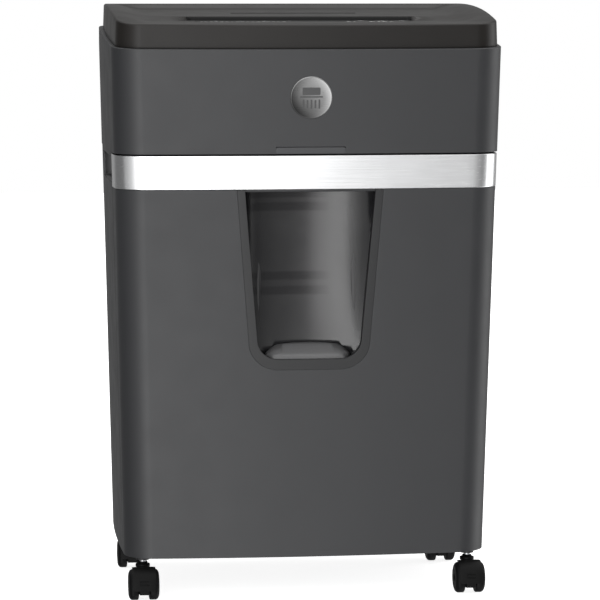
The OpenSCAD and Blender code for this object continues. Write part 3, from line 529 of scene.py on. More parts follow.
def edge_loop(skin, low, high, rows=12):
    """The skin's whole border between two heights, with points at its own columns."""
    zs = np.linspace(low, high, rows)
    return np.array([(u, low) for u in skin.u] + [(skin.length, z) for z in zs[1:]]
                    + [(u, high) for u in skin.u[-2::-1]] + [(0.0, z) for z in zs[-2:0:-1]])


def grid_points(skin, low, high, pitch):
    rows = np.linspace(low, high, max(3, int((high - low) / pitch)))[1:-1]
    return np.array([(u, z) for u in skin.u[1:-1] for z in rows])


def u_outline(top_half, foot_half, foot, r, top, steps=10, rows=12):
    """The window's outline from its top right corner down and round to its top left corner, as (x, z)."""
    lean = (top_half - foot_half) / (BAND_Z - foot)
    edge_x = foot_half + lean * r
    side = [(top_half + lean * (z - BAND_Z), z) for z in np.linspace(top, foot + r, rows)]
    corner = [(foot_half - r + (edge_x - foot_half + r) * math.sin(t), foot + r - r * math.cos(t))
              for t in np.linspace(math.radians(84), 0, steps)]
    floor = [(x, foot) for x in np.linspace(foot_half - r, 0, 8)[1:]]
    right = side + corner + floor
    return np.array(right + [(-x, z) for x, z in right[-2::-1]])


ROOF_REAR_Y, LIP_REAR_Y, TUB_FRONT_Y = -84.2, -90.4, -90.3
FRONT_PARTS = [0, 1, 2, 3, 4]
FRONT_STEPS = {0: 6, 1: 14, 2: 56, 3: 14, 4: 6}


def slab(name, outline, low, high):
    """A flat plate from a closed (x, y) outline."""
    outline = np.asarray(outline, float)
    if np.sum(outline[:, 0] * np.roll(outline[:, 1], -1) - outline[:, 1] * np.roll(outline[:, 0], -1)) < 0:
        outline = outline[::-1]
    rings = [np.column_stack([outline, np.full(len(outline), z)]) for z in (low, high)]
    return make(name, [loft(rings, True, True, True)])


# Front panel of the bin: a wrapped sheet with the window cut out, stepped behind the band
panel_skin = Skin(FRONT_PARTS, FRONT_STEPS, CAB_INSET, RETURN_Y)
PANEL_TOP, FRAME_GAP = BAND_Z - 0.3, 0.05
top_half, foot_half, foot, corner_r = FRAME_OUT
hole = u_outline(top_half + FRAME_GAP, foot_half + FRAME_GAP, foot - FRAME_GAP, corner_r, PANEL_TOP)
hole_u = np.column_stack([front_u(panel_skin, hole[:, 0], hole[:, 1]), hole[:, 1]])
first, last = hole_u[0, 0], hole_u[-1, 0]
border = edge_loop(panel_skin, CABINET_Z, PANEL_TOP)
top = border[:, 1] > PANEL_TOP - 0.1
between = top & (border[:, 0] > min(first, last) - 1e-6) & (border[:, 0] < max(first, last) + 1e-6)
cut = np.flatnonzero(between)
notch = hole_u if hole_u[0, 0] > hole_u[-1, 0] else hole_u[::-1]
border = np.vstack([border[:cut[0]], notch, border[cut[-1] + 1:]])
flat, faces = triangulate([border], [], grid_points(panel_skin, CABINET_Z, PANEL_TOP, 16), 2.5)
panel = make("bin_panel_face", [(panel_skin.place(flat[:, 0], flat[:, 1]), faces)])
face_outward(panel)
thicken(panel, WALL)
soften(panel, 0.25, 2)
dress(panel, M["cabinet_plastic"], "bin", "cabinet_plastic", "bin_front_panel")

back_skin = Skin(FRONT_PARTS, FRONT_STEPS, CAB_INSET + BAND_T + 0.1, RETURN_Y)
rows = [BAND_Z - 2.5, BAND_Z, BAND_TOP - 1.0, BAND_TOP]
backing = make("bin_panel_backing", [loft([back_skin.place(back_skin.u, z) for z in rows], False)])
face_outward(backing)
thicken(backing, WALL - 0.4)
dress(backing, M["cabinet_plastic"], "bin", "cabinet_plastic")

# Roof and floor of the panel: plates from its inner face back to a straight rear edge
inner = back_skin.place(back_skin.u, BAND_TOP - 1.2, back_skin.inset + WALL - 0.6)
inner = inner[inner[:, 1] < ROOF_REAR_Y - 0.3][:, :2]
outline = np.vstack([inner, [(inner[-1, 0], ROOF_REAR_Y), (inner[0, 0], ROOF_REAR_Y)]])
roof = slab("bin_panel_roof", outline, BAND_TOP - 3, BAND_TOP - 0.2)
soften(roof, 0.5)
dress(roof, M["cabinet_plastic"], "bin", "cabinet_plastic")
inner = panel_skin.place(panel_skin.u, CABINET_Z + 0.2, CAB_INSET + WALL - 0.3)
inner = inner[inner[:, 1] < LIP_REAR_Y - 0.2][:, :2]
outline = np.vstack([inner, [(inner[-1, 0], LIP_REAR_Y), (inner[0, 0], LIP_REAR_Y)]])
lip = slab("bin_panel_lip", outline, CABINET_Z + 0.1, CABINET_Z + 3)
soften(lip, 0.5)
dress(lip, M["cabinet_plastic"], "bin", "cabinet_plastic")
bosses = []
for x in (-128, 128):
    for z in (110, 350):
        length = TUB_FRONT_Y - float(bowed_front(x, z)) - CAB_INSET - WALL + 0.4
        profile = [(1.6, 7), (1.6, 0.4), (2.0, 0), (4.7, 0), (5.0, 0.3), (5.0, length - 1.5), (6.2, length)]
        bosses.append(lathe(profile, 24, "y", (x, TUB_FRONT_Y, z)))
screw_towers = make("bin_panel_bosses", bosses)
dress(screw_towers, M["cabinet_plastic"], "bin", "cabinet_plastic")

# Silver band: a bent metal strip with rolled long edges
band_skin = Skin(FRONT_PARTS, FRONT_STEPS, CAB_INSET - 0.2, RETURN_Y)
rolled = [(0, 0.75), (0.1, 0.4), (0.35, 0.12), (0.8, 0), (10, 0)]
rows = [(BAND_Z + up, more) for up, more in rolled] + [(BAND_TOP - up, more) for up, more in rolled[::-1]]
rings = [band_skin.place(band_skin.u, z, band_skin.inset + more) for z, more in rows]
band = make("band_face", [loft(rings, False)])
face_outward(band)
thicken(band, 1.2)
dress(band, M["silver_band"], "bin", "silver_band", "bin_band")

# Window frame: a U set flush in the panel
frame_skin = Skin(FRONT_PARTS, FRONT_STEPS, CAB_INSET + 0.1, RETURN_Y)
outer = u_outline(*FRAME_OUT, BAND_Z - 0.4)
inner = u_outline(*FRAME_IN, BAND_Z - 0.4)
loop = np.vstack([outer, inner[::-1]])
loop_u = np.column_stack([front_u(frame_skin, loop[:, 0], loop[:, 1]), loop[:, 1]])
flat, faces = triangulate([loop_u], [], np.zeros((0, 2)), 1)
window_frame = make("window_frame_face", [(frame_skin.place(flat[:, 0], flat[:, 1]), faces)])
face_outward(window_frame, (0, -1, 0))
thicken(window_frame, 5)
soften(window_frame, 0.25, 2)
dress(window_frame, M["frame_plastic"], "bin", "frame_plastic", "window_frame")

# Scooped window: an elliptic hollow behind the U-shaped mouth, with a drooping half-moon ledge at its foot
LAP = 1.2
MOUTH_HALF = FRAME_IN[0] + LAP
SCOOP_HALF, SCOOP_BACK = MOUTH_HALF + 0.6, SCOOP_DEPTH - SCOOP_FRONT
SCOOP_TOP, LEDGE_Z, LEDGE_SLOPE = BAND_TOP - 3.6, FRAME_IN[2] + 1.0, 0.66
EASE_Z, EASE_H, EASE_SHARE = 325.0, 80.0, 0.36


def hollow(x, z):
    """Depth of the scoop behind its mouth: elliptic across, and easing forward towards its foot."""
    ease = np.clip((EASE_Z - z) / EASE_H, 0, 1)
    return SCOOP_BACK * (1 - EASE_SHARE * ease ** 2) * np.sqrt(np.maximum(0, 1 - (x / SCOOP_HALF) ** 2))


def droop(x):
    """How far the ledge's ends hang down."""
    return 9.0 * np.maximum(0, (np.abs(x) - 28) / 15) ** 2


def ledge_edge(x):
    """Height at which the sloping ledge meets the glazing, found by repeated substitution."""
    z = LEDGE_Z - droop(x)
    for _ in range(6):
        z = LEDGE_Z - droop(x) + LEDGE_SLOPE * hollow(x, z)
    return z


def in_scoop(x, z, depth):
    """Points at a depth behind the scoop's mouth."""
    return np.column_stack([x, bowed_front(x, z) + SCOOP_FRONT + depth, z])


_, in_foot_half, in_foot, in_corner = FRAME_IN
mouth = u_outline(MOUTH_HALF, in_foot_half + LAP, in_foot - LAP, in_corner + LAP, SCOOP_TOP, 24, 60)
mouth[:, 0] = np.clip(mouth[:, 0], -MOUTH_HALF, MOUTH_HALF)
low = mouth[:, 1] < ledge_edge(mouth[:, 0])
right, left = mouth[~low & (mouth[:, 0] > 0)], mouth[~low & (mouth[:, 0] < 0)]
end = float((right[-1, 0] + mouth[low][0, 0]) / 2)
xs = np.linspace(end, -end, 41)
edge = np.column_stack([xs, ledge_edge(xs)])
top_edge = np.column_stack([np.linspace(-MOUTH_HALF, MOUTH_HALF, 41)[1:-1], np.full(39, SCOOP_TOP)])
gx, gz = np.meshgrid(np.linspace(-62, 62, 42), np.arange(232, SCOOP_TOP, 7.0))
grid = np.column_stack([gx.ravel(), gz.ravel()])
flat, faces = triangulate([np.vstack([right, edge, left, top_edge])], [], grid, 1.6)
sides = []
for run in (right, left):
    depth = hollow(run[:, 0], run[:, 1])
    rings = [in_scoop(run[:, 0], run[:, 1], way) for way in (-0.3, depth * 0.5, depth)]
    sides.append(loft(rings, False))
back = in_scoop(flat[:, 0], flat[:, 1], hollow(flat[:, 0], flat[:, 1]))
glazing = make("scoop_glazing", [(back, faces)] + sides)
face_outward(glazing, (0, -1, 0))
glazing.data.set_sharp_from_angle(angle=math.radians(40))
thicken(glazing, 1.6)
dress(glazing, M["smoked_window"], "bin", "smoked_window", "scoop_window")
flat, faces = triangulate([np.vstack([edge, mouth[low][::-1]])], [], grid, 1.2)
depth = np.clip((flat[:, 1] - LEDGE_Z + droop(flat[:, 0])) / LEDGE_SLOPE, 0, SCOOP_BACK)
ledge = make("scoop_ledge", [(in_scoop(flat[:, 0], flat[:, 1], depth), faces)])
face_outward(ledge, (0, -0.4, 1))
thicken(ledge, 1.8)
# Painted light: the ledge is the window's own foot, given a lighter grey than the glazing for the light
# falling on it from above
dress(ledge, M["ledge_painted_light"], "bin", "smoked_window")

# Cabinet: sides and back in one wrapped sheet, with a lined hand grip in each side
REAR_PARTS = [4, 5, 6, 7, 0]
REAR_STEPS = {4: 18, 5: 10, 6: 24, 7: 10, 0: 18}
cab_skin = Skin(REAR_PARTS, REAR_STEPS, CAB_INSET, None, RETURN_Y + SEAM_GAP)
side_end = REAR_Y - CAB_INSET - (REAR_R - CAB_INSET)
side_run = side_end - RETURN_Y - SEAM_GAP
GRIP_Y, GRIP_Z, GRIP_HALF, GRIP_RISE = 9.0, 415.0, 68.0, 12.8
grip = dense(rounded(0, 0, GRIP_HALF, GRIP_RISE, 5), 5)
holes = []
for side in (-1, 1):
    y = GRIP_Y + grip[:, 0]
    u = 180 * (y - RETURN_Y - SEAM_GAP) / side_run
    holes.append(np.column_stack([u if side < 0 else cab_skin.length - u, GRIP_Z + grip[:, 1]]))
border = edge_loop(cab_skin, CABINET_Z, SKIRT_Z - 0.15)
flat, faces = triangulate([border] + holes, [], grid_points(cab_skin, CABINET_Z, SKIRT_Z, 16), 2.5)
cabinet = make("cabinet_casing", [(cab_skin.place(flat[:, 0], flat[:, 1]), faces)])
face_outward(cabinet)
thicken(cabinet, WALL)
soften(cabinet, 0.8, 2)
dress(cabinet, M["cabinet_plastic"], "root", "cabinet_plastic", "cabinet_shell")
liners = []
for hole_loop in holes:
    lip = cab_skin.place(hole_loop[:, 0], hole_loop[:, 1], CAB_INSET + 1.0)
    side = np.sign(lip[0, 0])
    rings = [lip]
    for x, shrink in ((176, 0.6), (172.5, 1.0), (171.0, 2.2), (170.6, 3.6)):
        ring = lip.copy()
        ring[:, 0] = side * x
        ring[:, 1] = GRIP_Y + (ring[:, 1] - GRIP_Y) * (1 - shrink / GRIP_HALF)
        ring[:, 2] = GRIP_Z + (ring[:, 2] - GRIP_Z) * (1 - shrink / GRIP_RISE)
        rings.append(ring)
    liners.append(loft(rings, True, False, True))
grips = make("grip_liners", liners)
modifier(grips, "SOLIDIFY", thickness=0.0015, offset=1)
dress(grips, M["black_plastic"], "root", "cabinet_plastic")


# ---------------------------------------------------------------- head

def seam_at(y):
    return SEAM_Z + SEAM_RISE * (y - FRONT_Y)


TAB_HALF, TAB_H = 33.5, 6.4
NOTCH_HALF = 34.2
COVER_HALF, COVER_Z = 120.0, (446.0, 536.0)
FRONT_RUN, REAR_RUN = 163.0, 178.0

# Columns round the head, with extra ones at the edges of the tab's notch and of the rear cover
columns = []
for part, count in ((0, 18), (1, 16), (2, 0), (3, 16), (4, 18), (5, 10), (6, 0), (7, 10)):
    if part == 2:
        raw = set(np.round(np.linspace(-FRONT_RUN, FRONT_RUN, 49)[1:-1], 3)) | {-NOTCH_HALF, NOTCH_HALF}
        columns += [(2, 0.0)] + [(2, (1 - x / FRONT_RUN) / 2) for x in sorted(raw, reverse=True)]
    elif part == 6:
        raw = set(np.round(np.linspace(-REAR_RUN, REAR_RUN, 25)[1:-1], 3)) | {-COVER_HALF, COVER_HALF}
        columns += [(6, 0.0)] + [(6, (x / REAR_RUN + 1) / 2) for x in sorted(raw)]
    else:
        columns += [(part, i / count) for i in range(count)]
part = np.array([c[0] for c in columns])
fraction = np.array([c[1] for c in columns])

# Skirt: drafted ring with a rolled shoulder and the ledge that the deck stands on
SHOULDER = 1.3
COVER_LEVELS = {0.1144: COVER_Z[0], 0.8663: COVER_Z[1]}
top_y = plan(part, fraction, SEAM_Z, 0)[1]
rings = []
for level in (0.0, (TAB_H + 0.5) / 99.5, 0.1144, 0.3, 0.5, 0.7, 0.8663, 0.94):
    z = SKIRT_Z + level * (seam_at(top_y) - SHOULDER - SKIRT_Z)
    if level in COVER_LEVELS:
        z = np.where(part == 6, COVER_LEVELS[level], z)
    x, y = plan(part, fraction, z, 0)
    rings.append(np.column_stack([x, y, z]))
for angle in np.radians((0, 22, 45, 68, 90)):
    x, y = plan(part, fraction, SEAM_Z, SHOULDER * (1 - math.cos(angle)))
    rings.append(np.column_stack([x, y, seam_at(y) - SHOULDER * (1 - math.sin(angle))]))
for inset in (3.0, 5.0, 7.0):
    x, y = plan(part, fraction, SEAM_Z, inset)
    rings.append(np.column_stack([x, y, seam_at(y)]))
n = len(part)
points, faces = loft(rings)
kept = []
for face in faces:
    k, i = divmod(face[0], n)
    mid = points[list(face)].mean(axis=0)
    notch = k == 0 and part[i] == 2 and abs(mid[0]) < NOTCH_HALF - 0.3
    opening = 2 <= k <= 5 and part[i] == 6 and abs(mid[0]) < COVER_HALF - 0.5
    if not (notch or opening):
        kept.append(face)
skirt = make("head_skirt_face", [(points, kept)])
face_outward(skirt)
thicken(skirt, WALL)
soften(skirt, 0.7, 2, 50)
dress(skirt, M["cabinet_plastic"], "root", "cabinet_plastic", "head_skirt")

# Insert in the skirt's lower edge
low = [(x, SKIRT_Z) for x in np.linspace(-TAB_HALF, TAB_HALF, 27)]
high = [(TAB_HALF, SKIRT_Z + TAB_H - 1.6), (TAB_HALF - 0.4, SKIRT_Z + TAB_H - 0.6)]
high += [(x, SKIRT_Z + TAB_H) for x in np.linspace(TAB_HALF - 1.6, -TAB_HALF + 1.6, 25)]
high += [(-TAB_HALF + 0.4, SKIRT_Z + TAB_H - 0.6), (-TAB_HALF, SKIRT_Z + TAB_H - 1.6)]
middle = [(x, SKIRT_Z + 3) for x in np.linspace(-TAB_HALF + 1.8, TAB_HALF - 1.8, 25)]
flat, faces = triangulate([np.array(low + high)], [], middle, 0.8)
y = bowed_front(flat[:, 0], flat[:, 1]) + 0.1
tab = make("head_tab_face", [(np.column_stack([flat[:, 0], y, flat[:, 1]]), faces)])
face_outward(tab, (0, -1, 0))
thicken(tab, 2.2)
soften(tab, 0.5, 2)
dress(tab, M["tab_plastic"], "root", "cabinet_plastic", "head_tab")

# Badge: a shallow dished metal disc with a plain sheet-and-strips sign
BADGE_Z, BADGE_R = 486.0, 20.25
badge_y = float(front_at(BADGE_Z)) - FRONT_BOW + 1.0
lean = math.atan(FRONT_DRAFT)


def on_badge(part_mesh):
    """Moves (points, faces) from x, height along the disc's axis and z to the leaning disc's place."""
    points, faces = part_mesh
    out, up = points[:, 1], points[:, 2]
    y = badge_y - out * math.cos(lean) - up * math.sin(lean)
    return np.column_stack([points[:, 0], y, BADGE_Z - out * math.sin(lean) + up * math.cos(lean)]), faces


profile = [(BADGE_R - 0.4, 0.0), (BADGE_R, 0.3), (BADGE_R, 1.1), (BADGE_R - 0.15, 1.4), (BADGE_R - 0.5, 1.58),
           (BADGE_R - 1.1, 1.6), (BADGE_R - 1.5, 1.52), (BADGE_R - 2.0, 1.42), (12.0, 1.42), (4.0, 1.42)]
turn = 2 * np.pi * np.arange(96) / 96
rings = [np.column_stack([r * np.cos(turn), np.full(len(turn), out), r * np.sin(turn)]) for r, out in profile]
disc = make("badge_face", [on_badge(loft(rings, True, True, True))])
face_outward(disc)
dress(disc, M["silver_badge"], "root", "silver_badge", "badge_disc")
marks = [rounded(0, 6.0, 8.6, 3.6, 1.0), rounded(0, 0.7, 11.0, 0.7, 0.6)]
marks += [rounded(x, -6.2, 0.85, 4.4 - 0.5 * (i % 2), 0.7) for i, x in enumerate(np.linspace(-7.6, 7.6, 5))]
signs = []
for mark in marks:
    rings = [np.column_stack([mark[:, 0], np.full(len(mark), out), mark[:, 1]]) for out in (1.3, 1.56)]
    signs.append(on_badge(loft(rings, True, True, True)))
sign = make("badge_sign", signs)
soften(sign, 0.06, 1)
dress(sign, M["mark_dark"], "root", "silver_badge")


# Deck: leaning rim, rolled edge, crowned top with a ramped dish behind the apron
ROLL = 2.4
LIP_Y = SLOT_Y + SLOT_GAP + SLOT_FLARE


def crown_at(y):
    return TOP_Z - TOP_R + np.sqrt(TOP_R ** 2 - (y - TOP_CREST_Y) ** 2)


def apron_at(y):
    return APRON_Z + APRON_RISE * (y - FRONT_Y)


def floor_at(y):
    return FLOOR_Z + FLOOR_RISE * (y - SLOT_Y)


def deck_top(x, y):
    """Height of the deck's upper surface: the rise behind the slot eases out beyond the slot's ends."""
    crown = crown_at(y)
    aside = np.maximum(0, (np.abs(x) - DISH_HALF + 14) / 35)
    behind = np.maximum(0, (y - DISH_REAR_Y + 10) / 15)
    rim = step(np.hypot(aside, behind))
    beyond = step((np.abs(x) - SLOT_HALF - 1) / 26)
    eased = step((y - LIP_Y + 50 * beyond) / np.maximum(0.01, 64 * beyond))
    rise = np.where(beyond > 0, eased, (y > LIP_Y - 0.01) * 1.0)
    low = apron_at(y) * (1 - rise) + floor_at(y) * rise
    return crown - (1 - rim) * np.maximum(0, crown - low)


wall_rings = []
foot_y = plan(part, fraction, SEAM_Z, DECK_STEP)[1]
foot_z = seam_at(foot_y) - 0.2
for share in (0.0, 0.35, 0.7, 1.0):
    z = foot_z + share * (crown_at(foot_y) - ROLL - foot_z)
    x, y = plan(part, fraction, SEAM_Z, DECK_STEP + DECK_LEAN * (z - SEAM_Z))
    wall_rings.append(np.column_stack([x, y, z]))
rim_z = wall_rings[-1][:, 2]
top_inset = DECK_STEP + DECK_LEAN * (rim_z - SEAM_Z)
for turn in np.radians((20, 40, 60, 78)):
    x, y = plan(part, fraction, SEAM_Z, top_inset + ROLL * (1 - math.cos(turn)))
    wall_rings.append(np.column_stack([x, y, rim_z + (deck_top(x, y) - rim_z) * math.sin(turn)]))
x, y = plan(part, fraction, SEAM_Z, top_inset + ROLL)
rim_loop = np.column_stack([x, y])
wall_rings.append(np.column_stack([x, y, deck_top(x, y)]))


def slot_loop(y, half, gap, steps=40):
    """A long slot's outline, with points along both of its edges."""
    xs = np.linspace(-half, half, steps)
    lower = [(x, y - gap) for x in xs]
    upper = [(x, y + gap) for x in xs[::-1]]
    return np.array(lower + upper)


paper = slot_loop(SLOT_Y, SLOT_HALF + 0.5, SLOT_GAP + SLOT_FLARE)
disc_slot = slot_loop(DISC_Y, DISC_HALF + 0.5, SLOT_GAP + SLOT_FLARE, 28)
recess = dense(rounded(2.0, -50.0, 106.15, 8.15, 1.2, 4), 4)
xs, ys = np.meshgrid(np.arange(-186, 187, 2.8), np.arange(-124, 126, 2.8))
field = np.column_stack([xs.ravel(), ys.ravel()])
flat, faces = triangulate([rim_loop, paper, disc_slot, recess], [], field, 1.3)
top_points = np.column_stack([flat, deck_top(flat[:, 0], flat[:, 1])])
deck_parts = [loft(wall_rings), (top_points, faces)]
# Steps of a slot's funnel: how far in from the deck's edge, and how far down
FUNNEL = ((0.25, 0.12), (0.5, 0.45), (1.2, 1.2), (2.0, 2.4), (SLOT_FLARE, 4.0), (SLOT_FLARE, 12.0))
liners = []
for loop, y0 in ((paper, SLOT_Y), (disc_slot, DISC_Y)):
    floor = deck_top(loop[:, 0], loop[:, 1])
    base = float(apron_at(y0) if loop is paper else floor_at(y0))
    rings = [np.column_stack([loop, floor])]
    for inward, down in FUNNEL:
        ring = loop.copy()
        ring[:, 1] = y0 + (ring[:, 1] - y0) * (1 - inward / (SLOT_GAP + SLOT_FLARE))
        uneven = (floor - base) * max(0, 1 - down / 5)
        rings.append(np.column_stack([ring, np.minimum(floor - 0.15 * inward, base + uneven - down)]))
    deck_parts.append(loft(rings[:3]))
    liners.append(loft(rings[2:]))
# The funnels' deeper walls are black plastic, painted darker and duller still as painted shade inside the
# slots
slot_liner = make("slot_liners", liners)
modifier(slot_liner, "SOLIDIFY", thickness=0.0012, offset=1)
dress(slot_liner, M["slot_black_painted_shade"], "root", "black_plastic")
floor = deck_top(recess[:, 0], recess[:, 1])
deck_parts.append(loft([np.column_stack([recess, floor]), np.column_stack([recess, floor - 1.4])]))
deck = make("deck_face", deck_parts)
face_outward(deck)
modifier(deck, "SOLIDIFY", thickness=0.0022, offset=-1, use_even_offset=False)
modifier(deck, "WEIGHTED_NORMAL", mode="FACE_AREA", weight=50, keep_sharp=True)
deck.data.set_sharp_from_angle(angle=math.radians(32))
dress(deck, M["deck_plastic"], "root", "deck_plastic", "top_deck")

# ---------------------------------------------------------------- casters

CASTERS = {"fl": (-159.6, -82.0), "fr": (159.6, -82.0), "rl": (-159.6, 91.2), "rr": (159.6, 91.2)}
TRAIL, WHEEL_R, WHEEL_W, WHEEL_GAP = 12.0, 15.0, 9.4, 10.4
HOOD_R, HOOD_HALF, WEB_R = 17.0, 11.3, 16.4


def hood(x, y):
    """Curved hood over the wheels: an arc sheet with rounded corners and two thin slots."""
    arc_len = math.radians(110.0) * HOOD_R
    low = -math.radians(14.0) * HOOD_R
    border = rounded(0, (low + arc_len) / 2, HOOD_HALF, (arc_len - low) / 2, 3.2, 6)
    border = dense(border, 2.0)
    slots = [rounded(0, 2.2 + 3.0 * i, 4.3, 0.55, 0.5, 3) for i in range(2)]
    gx, gv = np.meshgrid(np.linspace(-10, 10, 9), np.arange(low + 1.5, arc_len, 1.6))
    flat, faces = triangulate([border] + slots, [], np.column_stack([gx.ravel(), gv.ravel()]), 0.7)
    angle = flat[:, 1] / HOOD_R
    r = HOOD_R - 0.35 * (np.abs(flat[:, 0]) / HOOD_HALF) ** 4
    points = np.column_stack([x + flat[:, 0], y - TRAIL - r * np.cos(angle), WHEEL_R + r * np.sin(angle)])
    return points, faces


def wheel_profile():
    """A wheel's (radius, distance from the caster's middle), with a domed outer side and a hub."""
    dome, flatness = 5.2, 0.72
    start, end = WHEEL_GAP / 2, WHEEL_GAP / 2 + WHEEL_W
    tread = end - dome * flatness
    last = math.radians(75)
    inner = [(2.1, start), (WHEEL_R - 1.4, start), (WHEEL_R - 0.5, start + 0.35), (WHEEL_R, start + 1.2)]
    rim = [(WHEEL_R - dome + dome * math.cos(a), tread + dome * flatness * math.sin(a) / math.sin(last))
           for a in np.linspace(0, last, 9)]
    hub = [(8.6, end - 0.02), (8.2, end - 0.35), (7.6, end - 0.4), (7.2, end - 0.05), (4.0, end),
           (3.6, end - 0.5), (2.1, end - 0.6)]
    return inner + rim + hub


for key, (x, y) in CASTERS.items():
    body = BODY_OF[f"caster_{key}_housing"]
    shell = make(f"caster_{key}_hood", [hood(x, y)])
    face_outward(shell, (0, -1, 0.8))
    thicken(shell, 1.3)
    soften(shell, 0.3, 2)
    web, axle_y = WHEEL_GAP / 2 - 0.5, y - TRAIL
    turns = np.radians(np.linspace(-30, 95, 24))
    arc = [(axle_y - WEB_R * math.cos(a), WHEEL_R + WEB_R * math.sin(a)) for a in turns]
    back = [(y + 4.6, 29.0), (y + 4.6, 13.0), (y - 3.0, 12.0), (axle_y + 3.0, 9.5), (axle_y, 6.4),
            (axle_y - 6, 5.8)]
    outline = np.array(arc + back)
    plates = [np.column_stack([np.full(len(outline), x + px), outline]) for px in (-web, web)]
    spine = make(f"caster_{key}_web", [loft(plates, True, True, True)])
    soften(spine, 0.5, 2)
    neck = [(3.1, 19.0), (4.6, 19.0), (4.7, 30.0), (6.9, 30.6), (7.0, 31.2), (7.0, 33.0), (6.7, 33.4),
            (4.7, 33.6), (4.5, 35.3), (4.2, 35.5), (3.1, 35.5)]
    collar = make(f"caster_{key}_neck", [lathe(neck, 40, "z", (x, y, 0))])
    for piece in (shell, spine, collar):
        dress(piece, M["caster_nylon"], body, "caster_nylon", f"caster_{key}_housing")
    for side, tag in ((-1, "l"), (1, "r")):
        name = f"caster_{key}_wheel_{tag}"
        profile = [(r, side * along) for r, along in wheel_profile()]
        wheel = make(f"{name}_tread", [lathe(profile, 64, "x", (x, axle_y, WHEEL_R))])
        face_outward(wheel)
        wheel.data.set_sharp_from_angle(angle=math.radians(50))
        dress(wheel, M["wheel_nylon"], BODY_OF[name], "caster_nylon", name)


# ---------------------------------------------------------------- carried-over CAD nodes

LOOKS = {
    "black_plastic": ["base_plate", "head_floor", "feed_throat", "interlock_switch", "cord_gland",
                      "rocker_bezel", "bin_tub", "power_rocker"],
    "cabinet_plastic": ["rear_cover"],
    "overlay_gloss": ["control_overlay"],
    "lens": ["indicator_lenses"],
    "key_plastic": ["auto_key", "reverse_key", "forward_key"],
    "zinc_steel": ["bin_rails", "left_side_plate", "right_side_plate", "tie_rods", "gear_stud",
                   "cover_screws", "bin_screws", "caster_stems", "front_sync_gear", "rear_sync_gear",
                   "main_gear", "motor_pinion"] + [f"caster_{key}_axle" for key in CASTERS],
    "cutter_steel": ["front_cutter", "rear_cutter"],
    "bush_brass": ["cutter_bushes"],
    "comb_nylon": ["front_stripper_comb", "rear_stripper_comb", "interlock_plunger"],
    "gear_nylon": ["compound_gear"],
    "motor_steel": ["motor_can"],
    "circuit_board": ["control_board"],
}
EDGE = {"rear_cover": 0.5, "control_overlay": 0.12, "auto_key": 0.7, "reverse_key": 0.7, "forward_key": 0.7,
        "bin_tub": 0.7, "base_plate": 0.5, "power_rocker": 0.5, "rocker_bezel": 0.5, "cord_gland": 0.6,
        "cover_screws": 0.25, "indicator_lenses": 0.3}
for look, names in LOOKS.items():
    for name in names:
        piece = NODES[name]
        for slot in piece.material_slots:
            slot.material = M[look]
        if not piece.material_slots:
            piece.data.materials.append(M[look])
        modifier(piece, "WELD", merge_threshold=1e-5)
        modifier(piece, "BEVEL", width=EDGE.get(name, 0.2) * MM, segments=2, limit_method="ANGLE",
                 angle_limit=math.radians(40), use_clamp_overlap=True)
        modifier(piece, "WEIGHTED_NORMAL", mode="FACE_AREA", weight=60)


# Printed signs on the apron and the keys
KEYS_X, KEYS_Y, KEY_RAISE = (58, 78, 98), -50.0, 0.2


def bar(x, y, half_x, half_y):
    """A printed bar with blunt corners, as a closed solid lying on the apron or on a key."""
    outline = rounded(x, y, half_x, half_y, min(half_x, half_y) * 0.6, 2)
    z = apron_at(outline[:, 1]) + (KEY_RAISE if abs(y - KEYS_Y) < 4 else 0)
    rings = [np.column_stack([outline, z - 0.02]), np.column_stack([outline, z + 0.06])]
    return loft(rings, True, True, True)


bars = []
for i, x in enumerate(np.linspace(-100, -20, 17)):
    bars.append(bar(x, -70.0, 1.5 if i % 3 else 1.0, 0.9))
    if i % 4 == 0:
        bars.append(bar(x + 1.2, -66.6, 0.5, 1.6))
for x, wide in ((43, 2.2), (49, 1.2), (66, 2.8), (73, 1.0), (78, 3.0), (85, 2.0)):
    bars.append(bar(x, -70.0, wide, 1.2))
    bars.append(bar(x, -65.8, 0.8, 0.8))
for x in KEYS_X:
    bars.append(bar(x, KEYS_Y, 2.6, 0.55))
apron_signs = make("apron_signs", bars)
dress(apron_signs, M["print_white"], "root", "overlay_gloss")

# ---------------------------------------------------------------- floor, light, camera

# The studio's light by direction: degrees to the left of the front, and level
LIGHT_ROUND = ((-180, 0.3), (-130, 0.3), (-108, 1.9), (-86, 1.7), (-76, 0.42), (-60, 0.25), (-42, 0.36),
               (-26, 0.5), (-19, 0.56), (-17, 0.64), (-12, 0.76), (-7, 0.92), (-3, 1.7), (4, 2.6), (16, 3.2),
               (26, 3.0), (36, 1.5), (50, 0.9), (60, 0.62), (80, 0.42), (98, 0.15), (130, 0.15), (180, 0.3))
LIGHT_ABOVE, LIGHT_SCALE = 1.8, 5.0


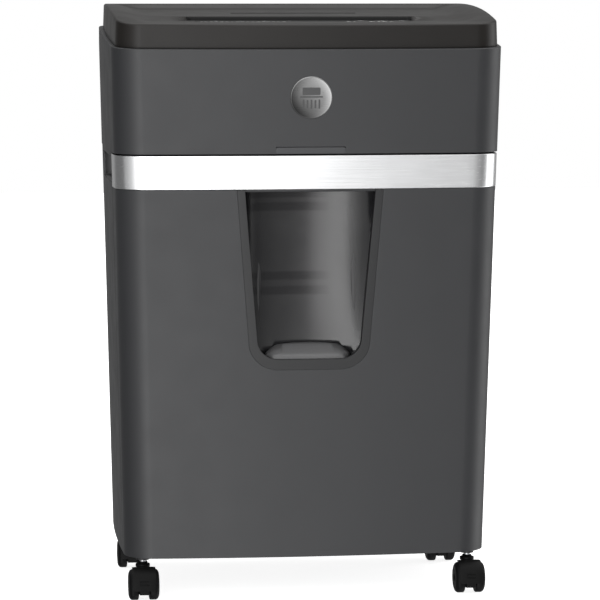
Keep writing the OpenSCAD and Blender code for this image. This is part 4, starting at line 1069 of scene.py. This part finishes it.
def world_light():
    """A bright studio all round: softboxes and dark gaps by direction, white to the camera."""
    world = bpy.data.worlds.new("studio")
    bpy.context.scene.world = world
    world.use_nodes = True
    tree = world.node_tree
    background = tree.nodes["Background"]
    axes = node(tree, "SeparateXYZ", {"Vector": node(tree, "TexCoord").outputs["Generated"]}).outputs
    left = node(tree, "Math", {0: axes["X"], 1: -1.0}, operation="MULTIPLY").outputs[0]
    ahead = node(tree, "Math", {0: axes["Y"], 1: -1.0}, operation="MULTIPLY").outputs[0]
    turn = node(tree, "Math", {0: left, 1: ahead}, operation="ARCTAN2").outputs[0]
    share = spread(tree, turn, 0.0, 1.0, -math.pi, math.pi)
    stops = [((angle + 180) / 360, level / LIGHT_SCALE) for angle, level in LIGHT_ROUND]
    around = ramp(tree, share, stops, "EASE")
    level = node(tree, "Math", {0: around, 1: LIGHT_SCALE}, operation="MULTIPLY").outputs[0]
    high = spread(tree, axes["Z"], 0.0, 1.0, 0.6, 0.85)
    level = node(tree, "Mix", {0: high, 2: level, 3: LIGHT_ABOVE}, data_type="FLOAT").outputs[0]
    seen = node(tree, "LightPath").outputs["Is Camera Ray"]
    choice = node(tree, "Mix", {0: seen, 2: level, 3: 1.0}, data_type="FLOAT")
    tree.links.new(choice.outputs[0], background.inputs["Strength"])
    background.inputs["Color"].default_value = (1, 1, 1, 1)


def soft_box(name, place, aim, size, power):
    light = bpy.data.lights.new(name, "AREA")
    light.shape = "RECTANGLE"
    light.size, light.size_y = size
    light.energy = power
    lamp = bpy.data.objects.new(name, light)
    bpy.context.scene.collection.objects.link(lamp)
    lamp.location = place
    lamp.rotation_euler = (Vector(aim) - Vector(place)).to_track_quat("-Z", "Y").to_euler()
    return lamp


world_light()
soft_box("top_light", (0.2, 0.5, 2.4), (0, 0, 0.5), (1.6, 1.2), 3)

FLOOR_HALF = 6
ground = bpy.data.meshes.new("studio_floor")
corners = [(x * FLOOR_HALF, y * FLOOR_HALF, 0) for x, y in ((-1, -1), (1, -1), (1, 1), (-1, 1))]
ground.from_pydata(corners, [], [(0, 1, 2, 3)])
floor_piece = bpy.data.objects.new("studio_floor", ground)
bpy.context.scene.collection.objects.link(floor_piece)
white, tree, shader = material("studio_white", Roughness=0.9)
shader.inputs["Base Color"].default_value = (0.8, 0.8, 0.8, 1)
shader.inputs["Emission Color"].default_value = (1, 1, 1, 1)
shader.inputs["Emission Strength"].default_value = 0.85
ground.materials.append(white)
floor_piece.visible_glossy = False
floor_piece.visible_diffuse = False
floor_piece.visible_shadow = False

scene = bpy.context.scene
scene.view_settings.view_transform = "Standard"
lens = bpy.data.cameras.new("camera")
lens.sensor_width = 36.0
lens.lens = 36.0 * 3100.7 / 600
lens.clip_end = 100
camera = bpy.data.objects.new("camera", lens)
scene.collection.objects.link(camera)
camera.location = (-0.3659, -3.0514, 0.5863)
camera.rotation_euler = (math.radians(90 - 5.6834), 0, math.radians(-6.917))
scene.camera = camera

bpy.context.view_layer.update()
